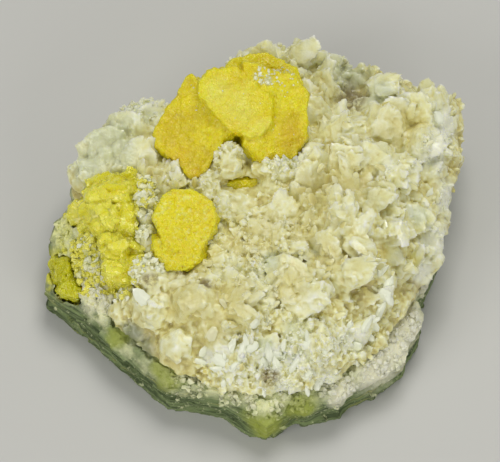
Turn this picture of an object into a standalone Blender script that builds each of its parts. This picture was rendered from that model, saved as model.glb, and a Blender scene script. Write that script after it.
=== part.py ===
"""Sulfur crystals grown on a calcite crust and its limestone, one hand specimen.

The specimen lies on the flat broken underside of the limestone with its crystals up. X runs to the
right, Y to the back and Z up, and the origin is under the middle, on the face it rests on.
Sizes are in millimetres and angles in degrees; MM turns them into metres when a mesh is finished.
"""

import math
import random
from typing import NamedTuple

import bmesh
import bpy
from mathutils import Matrix, Vector, noise

MM = 0.001

# Driving dimensions.
BED_HEIGHT = 12.0  # the bedding plane of the limestone that the calcite grew on
CRUST_HEIGHT = 25.0  # the middle of the calcite crust, before its swells and hollows
ROOT_HEIGHT = 18.5  # where the deepest sulfur crystals end, above the bedding plane
GAP = 0.4  # between pieces that touch
DISPLAY_LEAN = 30.0  # the crystal faces lean this far to the front from level
RIM_HEIGHT = 17.5  # the crust's broken edge, half-way between front and back
RIM_RISE = 4.5  # higher at the back and lower at the front
RIM_SLOPE = 12.0  # width of the slope from the edge to the crust's level
CRUST_CELLS = 16  # facets across the crust each way

# Broken outline of the limestone, seen from above, counterclockwise from the right.
LIMESTONE_OUTLINE = (
    (45.7, 1.5), (46.6, 8.4), (48.1, 13.5), (49.9, 27.0), (51.0, 33.5), (42.9, 36.6),
    (36.4, 38.6), (29.9, 41.2), (23.6, 44.6), (16.3, 48.1), (8.4, 48.9), (2.3, 49.7), (-1.4, 49.1),
    (-4.8, 44.9), (-8.2, 42.7), (-11.1, 39.0), (-16.6, 34.8), (-20.2, 31.0), (-24.4, 32.7),
    (-28.7, 32.2), (-33.3, 29.6), (-38.1, 25.1), (-42.4, 20.1), (-45.2, 15.1), (-45.5, 10.0),
    (-49.5, 5.6), (-50.4, 0.6), (-49.8, -6.5), (-51.0, -13.0), (-45.4, -18.2), (-40.6, -22.3),
    (-32.1, -31.3), (-25.6, -36.7), (-21.1, -40.7), (-14.7, -42.0), (-7.8, -43.4), (-3.3, -46.6),
    (2.4, -49.7), (9.3, -45.2), (11.7, -46.3), (20.2, -43.4), (22.4, -40.7), (31.2, -35.9),
    (35.5, -32.6), (36.0, -29.4), (39.6, -23.4), (40.1, -19.3), (38.4, -16.4), (41.8, -12.0),
    (44.8, -5.0),
)

# Edge of the calcite crust. It runs to the broken outline at the back and on the right, and
# leaves limestone bare on the left and along the front.
CRUST_OUTLINE = (
    (45.2, 1.5), (46.1, 8.4), (47.6, 13.5), (49.2, 20.0), (49.4, 27.0), (50.4, 33.2), (48.9, 34.7),
    (42.6, 36.2), (36.1, 38.2), (29.6, 40.8), (23.3, 44.2), (16.1, 47.6), (8.3, 48.4), (2.3, 49.2),
    (-1.2, 48.6), (-4.6, 44.4), (-8.0, 42.2), (-10.9, 38.6), (-16.3, 34.4), (-20.0, 30.6),
    (-24.2, 32.2), (-28.4, 31.7), (-33.0, 29.2), (-37.8, 24.8), (-42.0, 19.8), (-44.8, 14.9),
    (-45.0, 9.6), (-25.0, 3.1), (-25.2, -3.8), (-27.5, -8.8), (-30.4, -12.0), (-32.8, -14.4),
    (-33.9, -19.3), (-34.1, -25.0), (-29.7, -28.6), (-23.8, -32.5), (-19.0, -37.0), (-13.1, -40.0),
    (-6.1, -42.2), (1.5, -43.4), (10.4, -42.6), (17.4, -40.4), (22.7, -36.0), (28.9, -31.4),
    (32.3, -26.9), (35.4, -22.8), (37.4, -17.4), (41.3, -12.5), (44.1, -8.0),
)


class Bump(NamedTuple):
    """A rounded swell of a surface, or a hollow where height is below zero."""

    x: float
    y: float
    radius: float
    height: float


CRUST_BUMPS = (
    Bump(-17.0, -7.0, 10.0, -4.0),  # the hollow round the single crystal
    Bump(-16.7, -16.0, 5.0, -2.0),
    Bump(-15.4, -28.6, 12.0, 2.0),
    Bump(-9.0, 22.0, 14.0, 1.0),
    Bump(21.2, 3.5, 13.0, 4.0),  # the ridge of large blades
    Bump(31.0, 21.5, 12.0, 3.0),
    Bump(22.2, -11.5, 10.0, 2.5),
    Bump(24.2, 34.7, 4.5, -10.0),  # the dark cavity
    Bump(11.9, -8.1, 5.0, -3.0),
    Bump(1.5, -31.0, 8.0, -3.0),
)
LIMESTONE_BUMPS = (
    Bump(-38.2, -6.1, 5.0, 9.0),  # the knob below the sulfur vein
    Bump(-42.0, 2.5, 5.5, 7.0),
    Bump(-33.0, 1.0, 7.0, 7.0),
    Bump(-34.0, -16.0, 6.0, 3.5),
    Bump(-45.7, -5.5, 4.0, 2.0),
    Bump(-29.8, -26.9, 6.0, 1.0),
)


class Side(NamedTuple):
    """A side face of a crystal: where it points round the main face, how far out, its lean."""

    angle: float
    distance: float
    lean: float = 18.0


class Crystal(NamedTuple):
    """A sulfur crystal: the middle of its main face, which way that faces, and its side faces."""

    centre: tuple
    facing: tuple
    sides: tuple
    depth: float


LARGE_CRYSTALS = (
    Crystal(  # the left crystal, lower and darker
        (-15.7, 18.3, 32.0), (-0.22, -0.42, 0.88),
        (Side(150, 7.6, 0), Side(185, 8.9, 6), Side(229, 8.1), Side(272, 10.9), Side(322, 8.4, 8),
         Side(40, 9.0, 0), Side(88, 13.6, 0), Side(122, 11.6, 0)),
        15.0,
    ),
    Crystal(  # the front crystal, the highest
        (-4.7, 22.2, 38.0), (0.02, -0.48, 0.88),
        (Side(180, 9.0, 0), Side(207, 7.3, 2), Side(223, 5.4, 4), Side(250, 6.6, 8),
         Side(280, 9.0, 12), Side(318, 9.6, 20), Side(0, 8.6, 20), Side(49, 6.4, 12),
         Side(100, 8.8, 0), Side(140, 10.2, 0)),
        19.0,
    ),
    Crystal(  # the right crystal
        (6.0, 20.5, 34.5), (0.20, -0.50, 0.84),
        (Side(0, 6.6, 8), Side(330, 7.8), Side(300, 10.0), Side(262, 11.0), Side(225, 10.6),
         Side(180, 9.0, 0), Side(75, 10.5, 0), Side(35, 8.6, 0)),
        16.0,
    ),
    Crystal(  # the back ridge
        (1.0, 30.6, 36.0), (0.20, -0.24, 0.95),
        (Side(105, 6.0, -8), Side(65, 6.6, -8), Side(22, 9.4, -4), Side(340, 11.5, 6), Side(250, 7.0, 0),
         Side(180, 8.4, 0), Side(140, 8.0, -8)),
        14.0,
    ),
    Crystal(  # a small crystal between the ridge and the front crystal
        (2.6, 27.6, 38.4), (0.30, -0.36, 0.88),
        (Side(20, 5.0), Side(75, 2.6), Side(130, 5.0), Side(200, 5.6), Side(260, 3.4), Side(320, 4.8)),
        6.0,
    ),
)
SINGLE_CRYSTALS = (
    Crystal(
        (-16.7, -5.3, 31.0), (0.03, -0.46, 0.89),
        (Side(90, 6.8, 0), Side(56, 6.6, 0), Side(20, 7.2, 4), Side(352, 7.4, 6), Side(325, 7.1, 10),
         Side(290, 7.8), Side(250, 7.8), Side(205, 6.9, 0), Side(180, 7.6, 0), Side(151, 7.0, 0),
         Side(118, 7.2, 0)),
        10.0,
    ),
    Crystal(  # the small one grown into its lower left
        (-18.6, -12.6, 26.6), (-0.10, -0.50, 0.86),
        (Side(180, 5.3), Side(215, 4.3), Side(270, 3.8), Side(312, 4.4), Side(0, 5.4), Side(90, 3.6)),
        7.0,
    ),
)
LOWER_CRYSTALS = (
    Crystal(
        (-2.6, 6.4, 24.0), (0.10, -0.55, 0.83),
        (Side(100, 2.4), Side(40, 4.0), Side(330, 4.6), Side(270, 3.2), Side(215, 3.8), Side(165, 4.4)),
        4.5,
    ),
)


class Lump(NamedTuple):
    """A broken block: centre, half sizes, seed of the planes that break it, height of its foot."""

    centre: tuple
    half_size: tuple
    seed: int
    root: float


VEIN_LUMPS = (
    Lump((-33.6, 6.2, 22.5), (6.4, 5.0, 5.6), 3, 14.0),
    Lump((-38.4, 2.2, 21.0), (5.0, 4.6, 5.4), 5, 14.0),
    Lump((-31.6, -0.2, 22.5), (4.4, 4.8, 5.8), 8, 14.0),
    Lump((-28.9, 5.8, 22.0), (3.8, 4.2, 5.0), 11, 14.0),
    Lump((-32.0, -7.0, 19.5), (4.4, 5.2, 5.2), 14, 14.0),
    Lump((-32.4, -12.6, 17.4), (3.8, 4.2, 4.6), 17, 14.0),
    Lump((-35.6, -1.6, 21.8), (4.4, 4.0, 5.0), 20, 14.0),
    Lump((-37.4, 8.0, 20.5), (4.4, 3.6, 4.6), 23, 14.0),
)
EDGE_LUMPS = (
    Lump((-46.2, -8.6, 10.8), (3.2, 3.8, 3.6), 4, 6.0),
    Lump((-44.6, -12.8, 10.2), (3.4, 3.2, 3.4), 9, 6.0),
)


class Blade(NamedTuple):
    """A lens-shaped calcite crystal, its place above the crust and its turn in the display face."""

    x: float
    y: float
    lift: float
    turn: float
    length: float
    width: float


BLADES = (
    Blade(20.7, 8.4, 1.0, 90, 14.4, 7.4),
    Blade(13.1, 5.2, 1.0, 107, 12.0, 8.4),
    Blade(28.1, 10.1, 1.2, 110, 10.6, 7.8),
    Blade(30.9, 21.0, 1.6, 60, 11.0, 8.4),
    Blade(37.1, 25.1, 1.6, 20, 10.6, 8.8),
    Blade(40.6, 17.5, 1.8, -40, 9.6, 7.4),
    Blade(16.0, 34.2, 1.0, 70, 9.0, 6.4),
    Blade(14.6, 27.0, 1.0, 100, 8.4, 6.0),
    Blade(21.4, 19.6, 0.8, 12, 10.0, 5.4),
    Blade(19.8, -6.4, 1.6, 67, 14.4, 7.0),
    Blade(24.6, -8.0, 2.4, 54, 10.4, 3.8),
    Blade(24.5, -12.6, 1.8, -54, 9.0, 6.4),
    Blade(21.3, -19.4, 1.6, 10, 13.0, 6.0),
    Blade(7.8, -18.2, 1.6, -30, 11.6, 7.4),
    Blade(3.8, -7.8, 1.0, -28, 13.0, 5.4),
    Blade(12.4, -24.6, 1.2, 20, 10.6, 7.4),
    Blade(32.5, -7.0, 1.2, -20, 9.0, 6.4),
    Blade(28.4, 0.6, 1.0, 10, 10.0, 5.4),
    Blade(37.6, -1.2, 1.4, -50, 8.0, 5.4),
    Blade(35.4, 8.6, 1.2, -50, 9.6, 6.6),
    Blade(42.6, 8.6, 1.6, 100, 9.0, 5.0),
    Blade(-4.9, -25.2, 0.8, -10, 12.0, 8.0),
    Blade(-18.4, -31.6, 1.0, 30, 13.0, 9.0),
    Blade(-9.5, -33.4, 0.6, 0, 10.0, 7.0),
    Blade(-25.0, -23.4, 0.8, -40, 11.0, 8.0),
    Blade(-14.6, -24.6, 1.0, 15, 11.0, 8.0),
    Blade(29.0, -22.6, 2.0, 63, 13.0, 4.4),
    Blade(24.6, -29.6, 2.0, 63, 11.0, 4.4),
    Blade(10.8, 42.0, 1.4, 40, 9.6, 7.0),
    Blade(31.5, 32.5, 1.4, -30, 9.6, 6.4),
    Blade(-36.5, 19.6, 0.4, 50, 12.0, 9.0),
    Blade(-30.5, 23.6, 0.4, 20, 10.0, 8.0),
    Blade(-28.0, 13.6, 0.4, 80, 11.0, 8.0),
    Blade(2.0, 42.6, 1.0, 80, 9.0, 6.6),
    Blade(42.6, 29.0, 1.2, 120, 8.6, 6.4),
    Blade(6.0, -1.0, 0.6, 30, 9.0, 6.0),
    Blade(33.6, -14.4, 1.6, 40, 8.6, 5.4),
    Blade(2.5, -34.0, 0.8, 60, 9.0, 6.0),
    Blade(14.0, -33.5, 1.0, 100, 8.4, 5.4),
    Blade(-24.5, -15.6, 0.4, -20, 8.0, 6.0),
)


class Cluster(NamedTuple):
    """A patch of small pointed calcite crystals, heaped up by lift above the crust."""

    x: float
    y: float
    radius: float
    lift: float
    count: int
    size: float


CLUSTERS = (
    Cluster(-6.4, 12.6, 3.6, 4.5, 9, 3.6),  # the bridge of druse below the large group
    Cluster(2.4, 9.6, 4.4, 3.6, 10, 3.4),
    Cluster(-12.4, 8.0, 3.0, 1.2, 6, 3.2),
    Cluster(-9.0, 0.8, 3.8, 0.6, 8, 3.2),
    Cluster(1.5, 0.8, 4.6, 0.6, 8, 3.2),
    Cluster(8.1, -4.0, 4.0, 0.4, 6, 3.2),
    Cluster(0.1, -12.4, 4.0, 0.6, 6, 3.0),
    Cluster(0.5, -21.6, 4.6, 0.8, 8, 3.4),
    Cluster(-10.0, -36.6, 4.0, 0.4, 7, 3.6),
    Cluster(0.0, -37.4, 4.4, 0.4, 8, 3.6),
    Cluster(10.0, -36.6, 4.4, 0.4, 8, 3.6),
    Cluster(18.0, -32.6, 4.0, 0.6, 7, 3.8),
    Cluster(-27.6, 27.6, 3.6, 0.4, 7, 3.0),
    Cluster(-19.4, 9.0, 2.8, 0.6, 4, 3.0),
    Cluster(7.6, 11.6, 2.4, 1.4, 3, 3.8),
    Cluster(38.0, 12.0, 6.0, 0.6, 6, 3.4),
    Cluster(24.0, 28.6, 4.6, 0.4, 6, 3.2),
    Cluster(26.0, 40.0, 5.0, 0.2, 5, 3.2),
    Cluster(-5.0, 40.8, 3.4, 0.2, 4, 3.0),
)

CRUST_COLOUR = (0.78, 0.73, 0.52, 1.0)
LIMESTONE_COLOUR = (0.46, 0.47, 0.38, 1.0)
SULFUR_COLOUR = (0.80, 0.66, 0.04, 1.0)


def smooth(share):
    """Eases from 0 to 1, flat at both ends."""
    share = min(1.0, max(0.0, share))
    return share * share * (3.0 - 2.0 * share)


def swell(x, y, bumps):
    """Sum of the rounded bumps at a point."""
    total = 0.0
    for bump in bumps:
        away = ((x - bump.x) ** 2 + (y - bump.y) ** 2) / bump.radius**2
        total += bump.height * math.exp(-away)
    return total


def radius_at(outline, angle):
    """Distance from the middle to the outline in one direction."""
    ray = Vector((math.cos(angle), math.sin(angle)))
    reach = 0.0
    for start, end in zip(outline, outline[1:] + outline[:1]):
        a = Vector(start)
        edge = Vector(end) - a
        turn = ray.cross(edge)
        if abs(turn) < 1e-9:
            continue
        along = a.cross(edge) / turn
        share = a.cross(ray) / turn
        if along > reach and -1e-6 <= share <= 1.000001:
            reach = along
    return reach


def sector_angles(outline, count):
    """Directions of all the corners of an outline, with more put in the widest gaps."""
    angles = sorted(math.atan2(y, x) % math.tau for x, y in outline)
    while len(angles) < count:
        gaps = [(b - a) % math.tau for a, b in zip(angles, angles[1:] + angles[:1])]
        widest = gaps.index(max(gaps))
        angles.insert(widest + 1, angles[widest] + gaps[widest] / 2)
    return angles


def sector_angle(angles, share):
    """The direction at a share of the whole turn, between the two sectors next to it."""
    place = share % 1.0 * len(angles)
    before = int(place) % len(angles)
    step = (angles[(before + 1) % len(angles)] - angles[before]) % math.tau
    return angles[before] + step * (place - int(place))


def crust_level(x, y):
    """Height of the calcite crust's surface, without its crystals."""
    angle = math.atan2(y, x)
    inside = radius_at(CRUST_OUTLINE, angle) - math.hypot(x, y)
    rim = RIM_HEIGHT + RIM_RISE * math.sin(angle)
    slope = RIM_SLOPE - 6.0 * math.sin(angle)
    level = CRUST_HEIGHT + swell(x, y, CRUST_BUMPS)
    return rim + (level - rim) * smooth(inside / slope)


def limestone_level(x, y):
    """Height of the limestone's bare surface, rounded off along its broken edge."""
    inside = radius_at(LIMESTONE_OUTLINE, math.atan2(y, x)) - math.hypot(x, y)
    worn = 2.2 * (1.0 - smooth(inside / 3.5))
    return BED_HEIGHT - worn + swell(x, y, LIMESTONE_BUMPS) * smooth(inside / 6.0)


def roughness(x, y, z, size, height, seed=0.0):
    """Smooth noise with features of about that size."""
    return height * noise.noise(Vector((x / size + seed, y / size, z / size)))


def turned_blank(profile, steps):
    """A closed blank turned from a profile of (radius, height) points round Z."""
    mesh = bmesh.new()
    verts = [mesh.verts.new((radius, 0.0, height)) for radius, height in profile]
    edges = [mesh.edges.new(pair) for pair in zip(verts, verts[1:])]
    bmesh.ops.spin(
        mesh, geom=verts + edges, cent=(0, 0, 0), axis=(0, 0, 1), angle=math.tau, steps=steps
    )
    bmesh.ops.remove_doubles(mesh, verts=mesh.verts, dist=1e-4)
    bmesh.ops.recalc_face_normals(mesh, faces=mesh.faces)
    return mesh


def cut_by(mesh, point, normal):
    """Cuts a closed convex mesh by a plane, and closes the cut with one flat face."""
    whole = mesh.verts[:] + mesh.edges[:] + mesh.faces[:]
    cut = bmesh.ops.bisect_plane(
        mesh, geom=whole, plane_co=point, plane_no=normal, clear_outer=True
    )
    rim = [part for part in cut["geom_cut"] if isinstance(part, bmesh.types.BMEdge)]
    if rim:
        bmesh.ops.edgeloop_fill(mesh, edges=rim)


def face_axes(facing):
    """The unit normal of a main face, and the right and up directions in it."""
    normal = Vector(facing).normalized()
    right = (Vector((1, 0, 0)) - normal * normal.x).normalized()
    return normal, right, normal.cross(right)


def crystal_mesh(crystal, grow=0.0):
    """A crystal cut face by face from a block, every face moved out by grow."""
    centre = Vector(crystal.centre)
    normal, right, up = face_axes(crystal.facing)
    mesh = bmesh.new()
    bmesh.ops.create_cube(mesh, size=60.0, matrix=Matrix.Translation(centre))
    cut_by(mesh, centre + normal * grow, normal)
    cut_by(mesh, centre - normal * (crystal.depth + grow), -normal)
    for side in crystal.sides:
        turn = math.radians(side.angle)
        lean = math.radians(side.lean)
        outward = right * math.cos(turn) + up * math.sin(turn)
        face = outward * math.cos(lean) + normal * math.sin(lean)
        cut_by(mesh, centre + outward * side.distance + face * grow, face)
    cut_by(mesh, Vector((0, 0, ROOT_HEIGHT - grow)), Vector((0, 0, -1)))
    bmesh.ops.recalc_face_normals(mesh, faces=mesh.faces)
    return mesh


def lump_mesh(lump, grow=0.0):
    """A broken lump: a turned block with twelve planes cut across it."""
    rng = random.Random(lump.seed)
    centre = Vector(lump.centre)
    half = Vector(lump.half_size)
    mesh = bmesh.new()
    bmesh.ops.create_cube(mesh, size=1.0)
    size = Matrix.Diagonal((*(half * 2.0 + Vector((grow, grow, grow)) * 2.0), 1.0))
    turn = Matrix.Rotation(rng.uniform(0, math.tau), 4, "Z")
    turn @= Matrix.Rotation(rng.uniform(-0.5, 0.5), 4, "X")
    mesh.transform(Matrix.Translation(centre) @ size @ turn)
    for _ in range(12):
        way = Vector((rng.gauss(0, 1), rng.gauss(0, 1), rng.gauss(0, 1))).normalized()
        reach = rng.uniform(0.78, 1.0) / math.sqrt(sum((w / h) ** 2 for w, h in zip(way, half)))
        cut_by(mesh, centre + way * (reach + grow), way)
    cut_by(mesh, Vector((0, 0, lump.root - grow)), Vector((0, 0, -1)))
    bmesh.ops.recalc_face_normals(mesh, faces=mesh.faces)
    return mesh


def display_axes(turn, tilt, swing):
    """Turn of a crystal in the display face, tipped a little out of it."""
    lean = Matrix.Rotation(math.radians(DISPLAY_LEAN), 4, "X")
    spin = Matrix.Rotation(math.radians(turn), 4, "Z")
    tip = Matrix.Rotation(math.radians(tilt), 4, "X") @ Matrix.Rotation(math.radians(swing), 4, "Y")
    return lean @ spin @ tip


def blade_mesh(blade, rng):
    """One half of a flat lens: eight-sided, with a thin rim and a small top face."""
    mesh = bmesh.new()
    bmesh.ops.create_cone(
        mesh, cap_ends=True, segments=8, radius1=0.52, radius2=0.26, depth=1.0
    )
    centre = Vector((blade.x, blade.y, crust_level(blade.x, blade.y) + blade.lift))
    axes = display_axes(blade.turn, rng.uniform(-16, 16), rng.uniform(-32, -12))
    size = Matrix.Diagonal((blade.length, blade.width, blade.width * 0.5, 1.0))
    for vert in mesh.verts:
        vert.co.xy += Vector((rng.uniform(-0.04, 0.04), rng.uniform(-0.04, 0.04)))
    mesh.transform(Matrix.Translation(centre) @ axes @ size)
    return mesh


def point_mesh(place, size, rng):
    """A small pointed crystal: a five-sided pyramid, standing out of the crust."""
    mesh = bmesh.new()
    length = size * rng.uniform(1.3, 1.9)
    bmesh.ops.create_cone(
        mesh, cap_ends=True, segments=5, radius1=size * 0.55, radius2=0.0, depth=length
    )
    way = Vector((rng.gauss(0, 0.55), -0.35 + rng.gauss(0, 0.5), 1.0)).normalized()
    turn = Vector((0, 0, 1)).rotation_difference(way).to_matrix().to_4x4()
    mesh.transform(Matrix.Translation(place + way * length * 0.12) @ turn)
    return mesh


def material(name, colour, rough):
    """A plain Principled finish."""
    made = bpy.data.materials.new(name)
    made.use_nodes = True
    shader = made.node_tree.nodes["Principled BSDF"]
    shader.inputs["Base Color"].default_value = colour
    shader.inputs["Roughness"].default_value = rough
    shader.inputs["Metallic"].default_value = 0.0
    made.diffuse_color = colour
    return made


def add_object(name, mesh, collection, finish=None):
    """Turns a finished bmesh, in millimetres, into an object in metres."""
    mesh.transform(Matrix.Scale(MM, 4))
    bmesh.ops.triangulate(mesh, faces=mesh.faces)
    data = bpy.data.meshes.new(name)
    mesh.to_mesh(data)
    mesh.free()
    made = bpy.data.objects.new(name, data)
    collection.objects.link(made)
    if finish:
        data.materials.append(finish)
    else:
        made.hide_render = True
        made.display_type = "WIRE"
    return made


def add_collection(name, parent=None):
    """A new collection in the scene, or inside another."""
    made = bpy.data.collections.new(name)
    (parent or bpy.context.scene.collection).children.link(made)
    return made


def combine(base, operation, operands):
    """Joins a collection of closed shapes to the base, or cuts them from it."""
    modifier = base.modifiers.new(operation.title(), "BOOLEAN")
    modifier.operation = operation
    modifier.operand_type = "COLLECTION"
    modifier.collection = operands
    modifier.solver = "EXACT"


def settle(base):
    """Applies the modifiers, and drops chips that a cut left loose."""
    bpy.context.view_layer.update()
    graph = bpy.context.evaluated_depsgraph_get()
    made = bpy.data.meshes.new_from_object(base.evaluated_get(graph))
    base.modifiers.clear()
    base.data = made
    mesh = bmesh.new()
    mesh.from_mesh(made)
    bmesh.ops.remove_doubles(mesh, verts=mesh.verts, dist=5e-6)
    bmesh.ops.dissolve_limit(
        mesh, angle_limit=math.radians(0.5), verts=mesh.verts, edges=mesh.edges
    )
    bmesh.ops.triangulate(mesh, faces=mesh.faces)
    drop_fins(mesh)
    keep = largest_island(mesh)
    loose = [vert for vert in mesh.verts if vert not in keep]
    bmesh.ops.delete(mesh, geom=loose, context="VERTS")
    mesh.to_mesh(made)
    mesh.free()


def drop_fins(mesh):
    """Removes pairs of triangles that lie back to back on the same three corners."""
    seen = {}
    fins = []
    for face in mesh.faces:
        corners = frozenset(vert.index for vert in face.verts)
        if corners in seen:
            fins += [face, seen.pop(corners)]
        else:
            seen[corners] = face
    bmesh.ops.delete(mesh, geom=fins, context="FACES")


def largest_island(mesh):
    """The connected vertices that there are most of."""
    unseen = set(mesh.verts)
    largest = set()
    while unseen:
        island = {unseen.pop()}
        edge_of = list(island)
        while edge_of:
            vert = edge_of.pop()
            for edge in vert.link_edges:
                other = edge.other_vert(vert)
                if other not in island:
                    island.add(other)
                    edge_of.append(other)
        unseen -= island
        if len(island) > len(largest):
            largest = island
    return largest


def turn_share(x, y):
    """How much of a whole turn a direction is, rounded so that rings stay in step."""
    return round(math.atan2(y, x) / math.tau % 1.0, 6)


def disc_place(x, y):
    """Spreads a square evenly over a disc: the share of its radius and of a whole turn."""
    share = max(abs(x), abs(y))
    if share < 1e-6:
        return 0.0, 0.0
    if abs(x) >= abs(y):
        quarter = y / x / 8 + (0.5 if x < 0 else 0.0)
    else:
        quarter = 0.25 - x / y / 8 + (0.5 if y < 0 else 0.0)
    return share, round(quarter % 1.0, 6)


def limestone_mesh():
    """The slab of layered limestone, its sides broken in low ledges along the bedding."""
    ledges = ((0.0, -0.8), (2.4, 0.0), (3.2, -1.1), (5.6, -0.2), (6.4, -1.3), (8.0, -0.3))
    profile = [(0.0, 0.0)] + [(1.0, height) for height, _ in ledges]
    profile += [(1.0, BED_HEIGHT)]
    profile += [(share, BED_HEIGHT) for share in (0.94, 0.87, 0.79, 0.70, 0.55, 0.0)]
    angles = sector_angles(LIMESTONE_OUTLINE, 72)
    mesh = turned_blank(profile, len(angles))
    insets = dict(ledges)
    for vert in mesh.verts:
        share, height = vert.co.xy.length, vert.co.z
        angle = sector_angle(angles, turn_share(vert.co.x, vert.co.y))
        reach = radius_at(LIMESTONE_OUTLINE, angle)
        if share > 0.999 and height < BED_HEIGHT - 0.01:
            step = insets[min(insets, key=lambda known: abs(known - height))]
            x, y = math.cos(angle) * reach, math.sin(angle) * reach
            front = smooth(0.5 - math.sin(angle))
            depth = 0.9 + roughness(x, y, height * 3.0, 11.0, 1.2, 9.0)
            undercut = 1.6 * (1.0 - front) * (1.0 - height / BED_HEIGHT)
            reach += step * max(0.0, depth) - undercut + min(0.0, roughness(x, y, height, 6.0, 1.4))
            if height > 0.0:
                height += roughness(x, y, 0.0, 12.0, 0.7, 5.0)
        place = Vector((math.cos(angle), math.sin(angle))) * reach * share
        if height >= BED_HEIGHT - 0.01:
            height = limestone_level(*place) + roughness(*place, 0, 4.0, 0.9, 2.0)
            covered = radius_at(CRUST_OUTLINE, angle) - place.length
            height = max(height, BED_HEIGHT + 1.5) if covered > -0.2 else height
        vert.co = (*place, height)
    return mesh


def crust_mesh():
    """The calcite crust without its crystals: flat below, swelling above."""
    angles = sector_angles(CRUST_OUTLINE, 4 * CRUST_CELLS)
    mesh = bmesh.new()
    bmesh.ops.create_grid(
        mesh, x_segments=CRUST_CELLS, y_segments=CRUST_CELLS, size=1.0, matrix=Matrix.Translation((0, 0, 1))
    )
    rim = [edge for edge in mesh.edges if edge.is_boundary]
    for level in (0.5, 0.0):
        walls = bmesh.ops.extrude_edge_only(mesh, edges=rim)["geom"]
        rim = [part for part in walls if isinstance(part, bmesh.types.BMEdge) and part.is_boundary]
        for vert in {vert for edge in rim for vert in edge.verts}:
            vert.co.z = level
    bmesh.ops.edgeloop_fill(mesh, edges=rim)
    bmesh.ops.recalc_face_normals(mesh, faces=mesh.faces)
    for vert in mesh.verts:
        level = vert.co.z
        share, turn = disc_place(vert.co.x, vert.co.y)
        angle = sector_angle(angles, turn)
        reach = radius_at(CRUST_OUTLINE, angle) * share
        if 0.4 < level < 0.6:
            reach -= 0.5 + abs(roughness(math.cos(angle) * 40, math.sin(angle) * 40, 0, 5.0, 1.2))
        place = Vector((math.cos(angle), math.sin(angle))) * reach
        surface = crust_level(*place) + roughness(*place, 0, 5.0, 1.6, 7.0)
        floor = BED_HEIGHT + GAP
        vert.co = (*place, floor + (surface - floor) * level)
    return mesh


def pocket_mesh():
    """What the crust's bed cuts from the limestone: its outline, and all beyond it at the rim."""
    angles = sector_angles(CRUST_OUTLINE, 4 * CRUST_CELLS)
    mesh = turned_blank([(0.0, 0.0), (1.0, 0.0), (1.0, 1.0), (0.0, 1.0)], len(angles))
    for vert in mesh.verts:
        share, level = vert.co.xy.length, vert.co.z
        angle = sector_angle(angles, turn_share(vert.co.x, vert.co.y))
        crust = radius_at(CRUST_OUTLINE, angle)
        bare = radius_at(LIMESTONE_OUTLINE, angle) - crust > 1.0
        reach = (crust + (GAP if bare else 8.0)) * share
        place = Vector((math.cos(angle), math.sin(angle))) * reach
        vert.co = (*place, BED_HEIGHT + level * 30.0)
    return mesh


def add_group(name, meshes, parts, cutters, finish):
    """Several closed shapes grown together as one object."""
    base = add_object(name, meshes[0], parts, finish)
    others = add_collection(name + " pieces", cutters)
    for count, mesh in enumerate(meshes[1:]):
        add_object(f"{name} piece {count}", mesh, others)
    if meshes[1:]:
        combine(base, "UNION", others)
        settle(base)
    return base


def crust_crystals():
    """Every blade and point that stands on the crust."""
    rng = random.Random(12)
    made = [blade_mesh(blade, rng) for blade in BLADES]
    for cluster in CLUSTERS:
        for _ in range(cluster.count):
            away = cluster.radius * math.sqrt(rng.random())
            turn = rng.uniform(0, math.tau)
            x = cluster.x + away * math.cos(turn)
            y = cluster.y + away * math.sin(turn)
            heap = cluster.lift * smooth(1.3 - away / cluster.radius)
            place = Vector((x, y, crust_level(x, y) + heap - 0.4))
            made.append(point_mesh(place, cluster.size * rng.uniform(0.7, 1.1), rng))
        if cluster.lift > 1.0:
            made.append(heap_mesh(cluster))
    for mesh in made:
        cut_by(mesh, Vector((0, 0, BED_HEIGHT + GAP)), Vector((0, 0, -1)))
    return made


def heap_mesh(cluster):
    """The calcite that a high cluster of points stands on."""
    mesh = bmesh.new()
    bmesh.ops.create_icosphere(mesh, subdivisions=1, radius=1.0)
    tall = cluster.lift + 3.0
    size = Matrix.Diagonal((cluster.radius, cluster.radius, tall, 1.0))
    centre = Vector((cluster.x, cluster.y, crust_level(cluster.x, cluster.y) - 3.0))
    mesh.transform(Matrix.Translation(centre) @ size)
    return mesh


def main():
    for old in list(bpy.data.objects):
        bpy.data.objects.remove(old)
    parts = add_collection("Sulfur specimen")
    cutters = add_collection("Cutters")
    calcite = material("calcite", CRUST_COLOUR, 0.35)
    limestone = material("limestone", LIMESTONE_COLOUR, 0.85)
    sulfur = material("sulfur", SULFUR_COLOUR, 0.45)

    groups = {
        "sulfur_large_group": (crystal_mesh, LARGE_CRYSTALS),
        "sulfur_single_crystal": (crystal_mesh, SINGLE_CRYSTALS),
        "sulfur_lower_crystal": (crystal_mesh, LOWER_CRYSTALS),
        "sulfur_vein": (lump_mesh, VEIN_LUMPS),
        "sulfur_edge_patch": (lump_mesh, EDGE_LUMPS),
    }
    sockets = add_collection("Sockets", cutters)
    for name, (shape, pieces) in groups.items():
        add_group(name, [shape(piece) for piece in pieces], parts, cutters, sulfur)
        for count, piece in enumerate(pieces):
            add_object(f"{name} socket {count}", shape(piece, GAP), sockets)

    crust = add_object("calcite_crust", crust_mesh(), parts, calcite)
    crystals = add_collection("Calcite crystals", cutters)
    for count, mesh in enumerate(crust_crystals()):
        add_object(f"calcite crystal {count}", mesh, crystals)
    combine(crust, "UNION", crystals)
    combine(crust, "DIFFERENCE", sockets)
    settle(crust)

    matrix = add_object("limestone_matrix", limestone_mesh(), parts, limestone)
    pockets = add_collection("Pocket", cutters)
    add_object("crust pocket", pocket_mesh(), pockets)
    combine(matrix, "DIFFERENCE", pockets)
    combine(matrix, "DIFFERENCE", sockets)
    settle(matrix)


main()
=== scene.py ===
"""Dresses a natural sulfur specimen: rough yellow crystals on a calcite crust over limestone.

The specimen lies on its flat underside with the crystals up. Sizes are in millimetres in the code
and become metres when a mesh is made. X runs to the right, Y to the back and Z up.
"""

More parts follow.
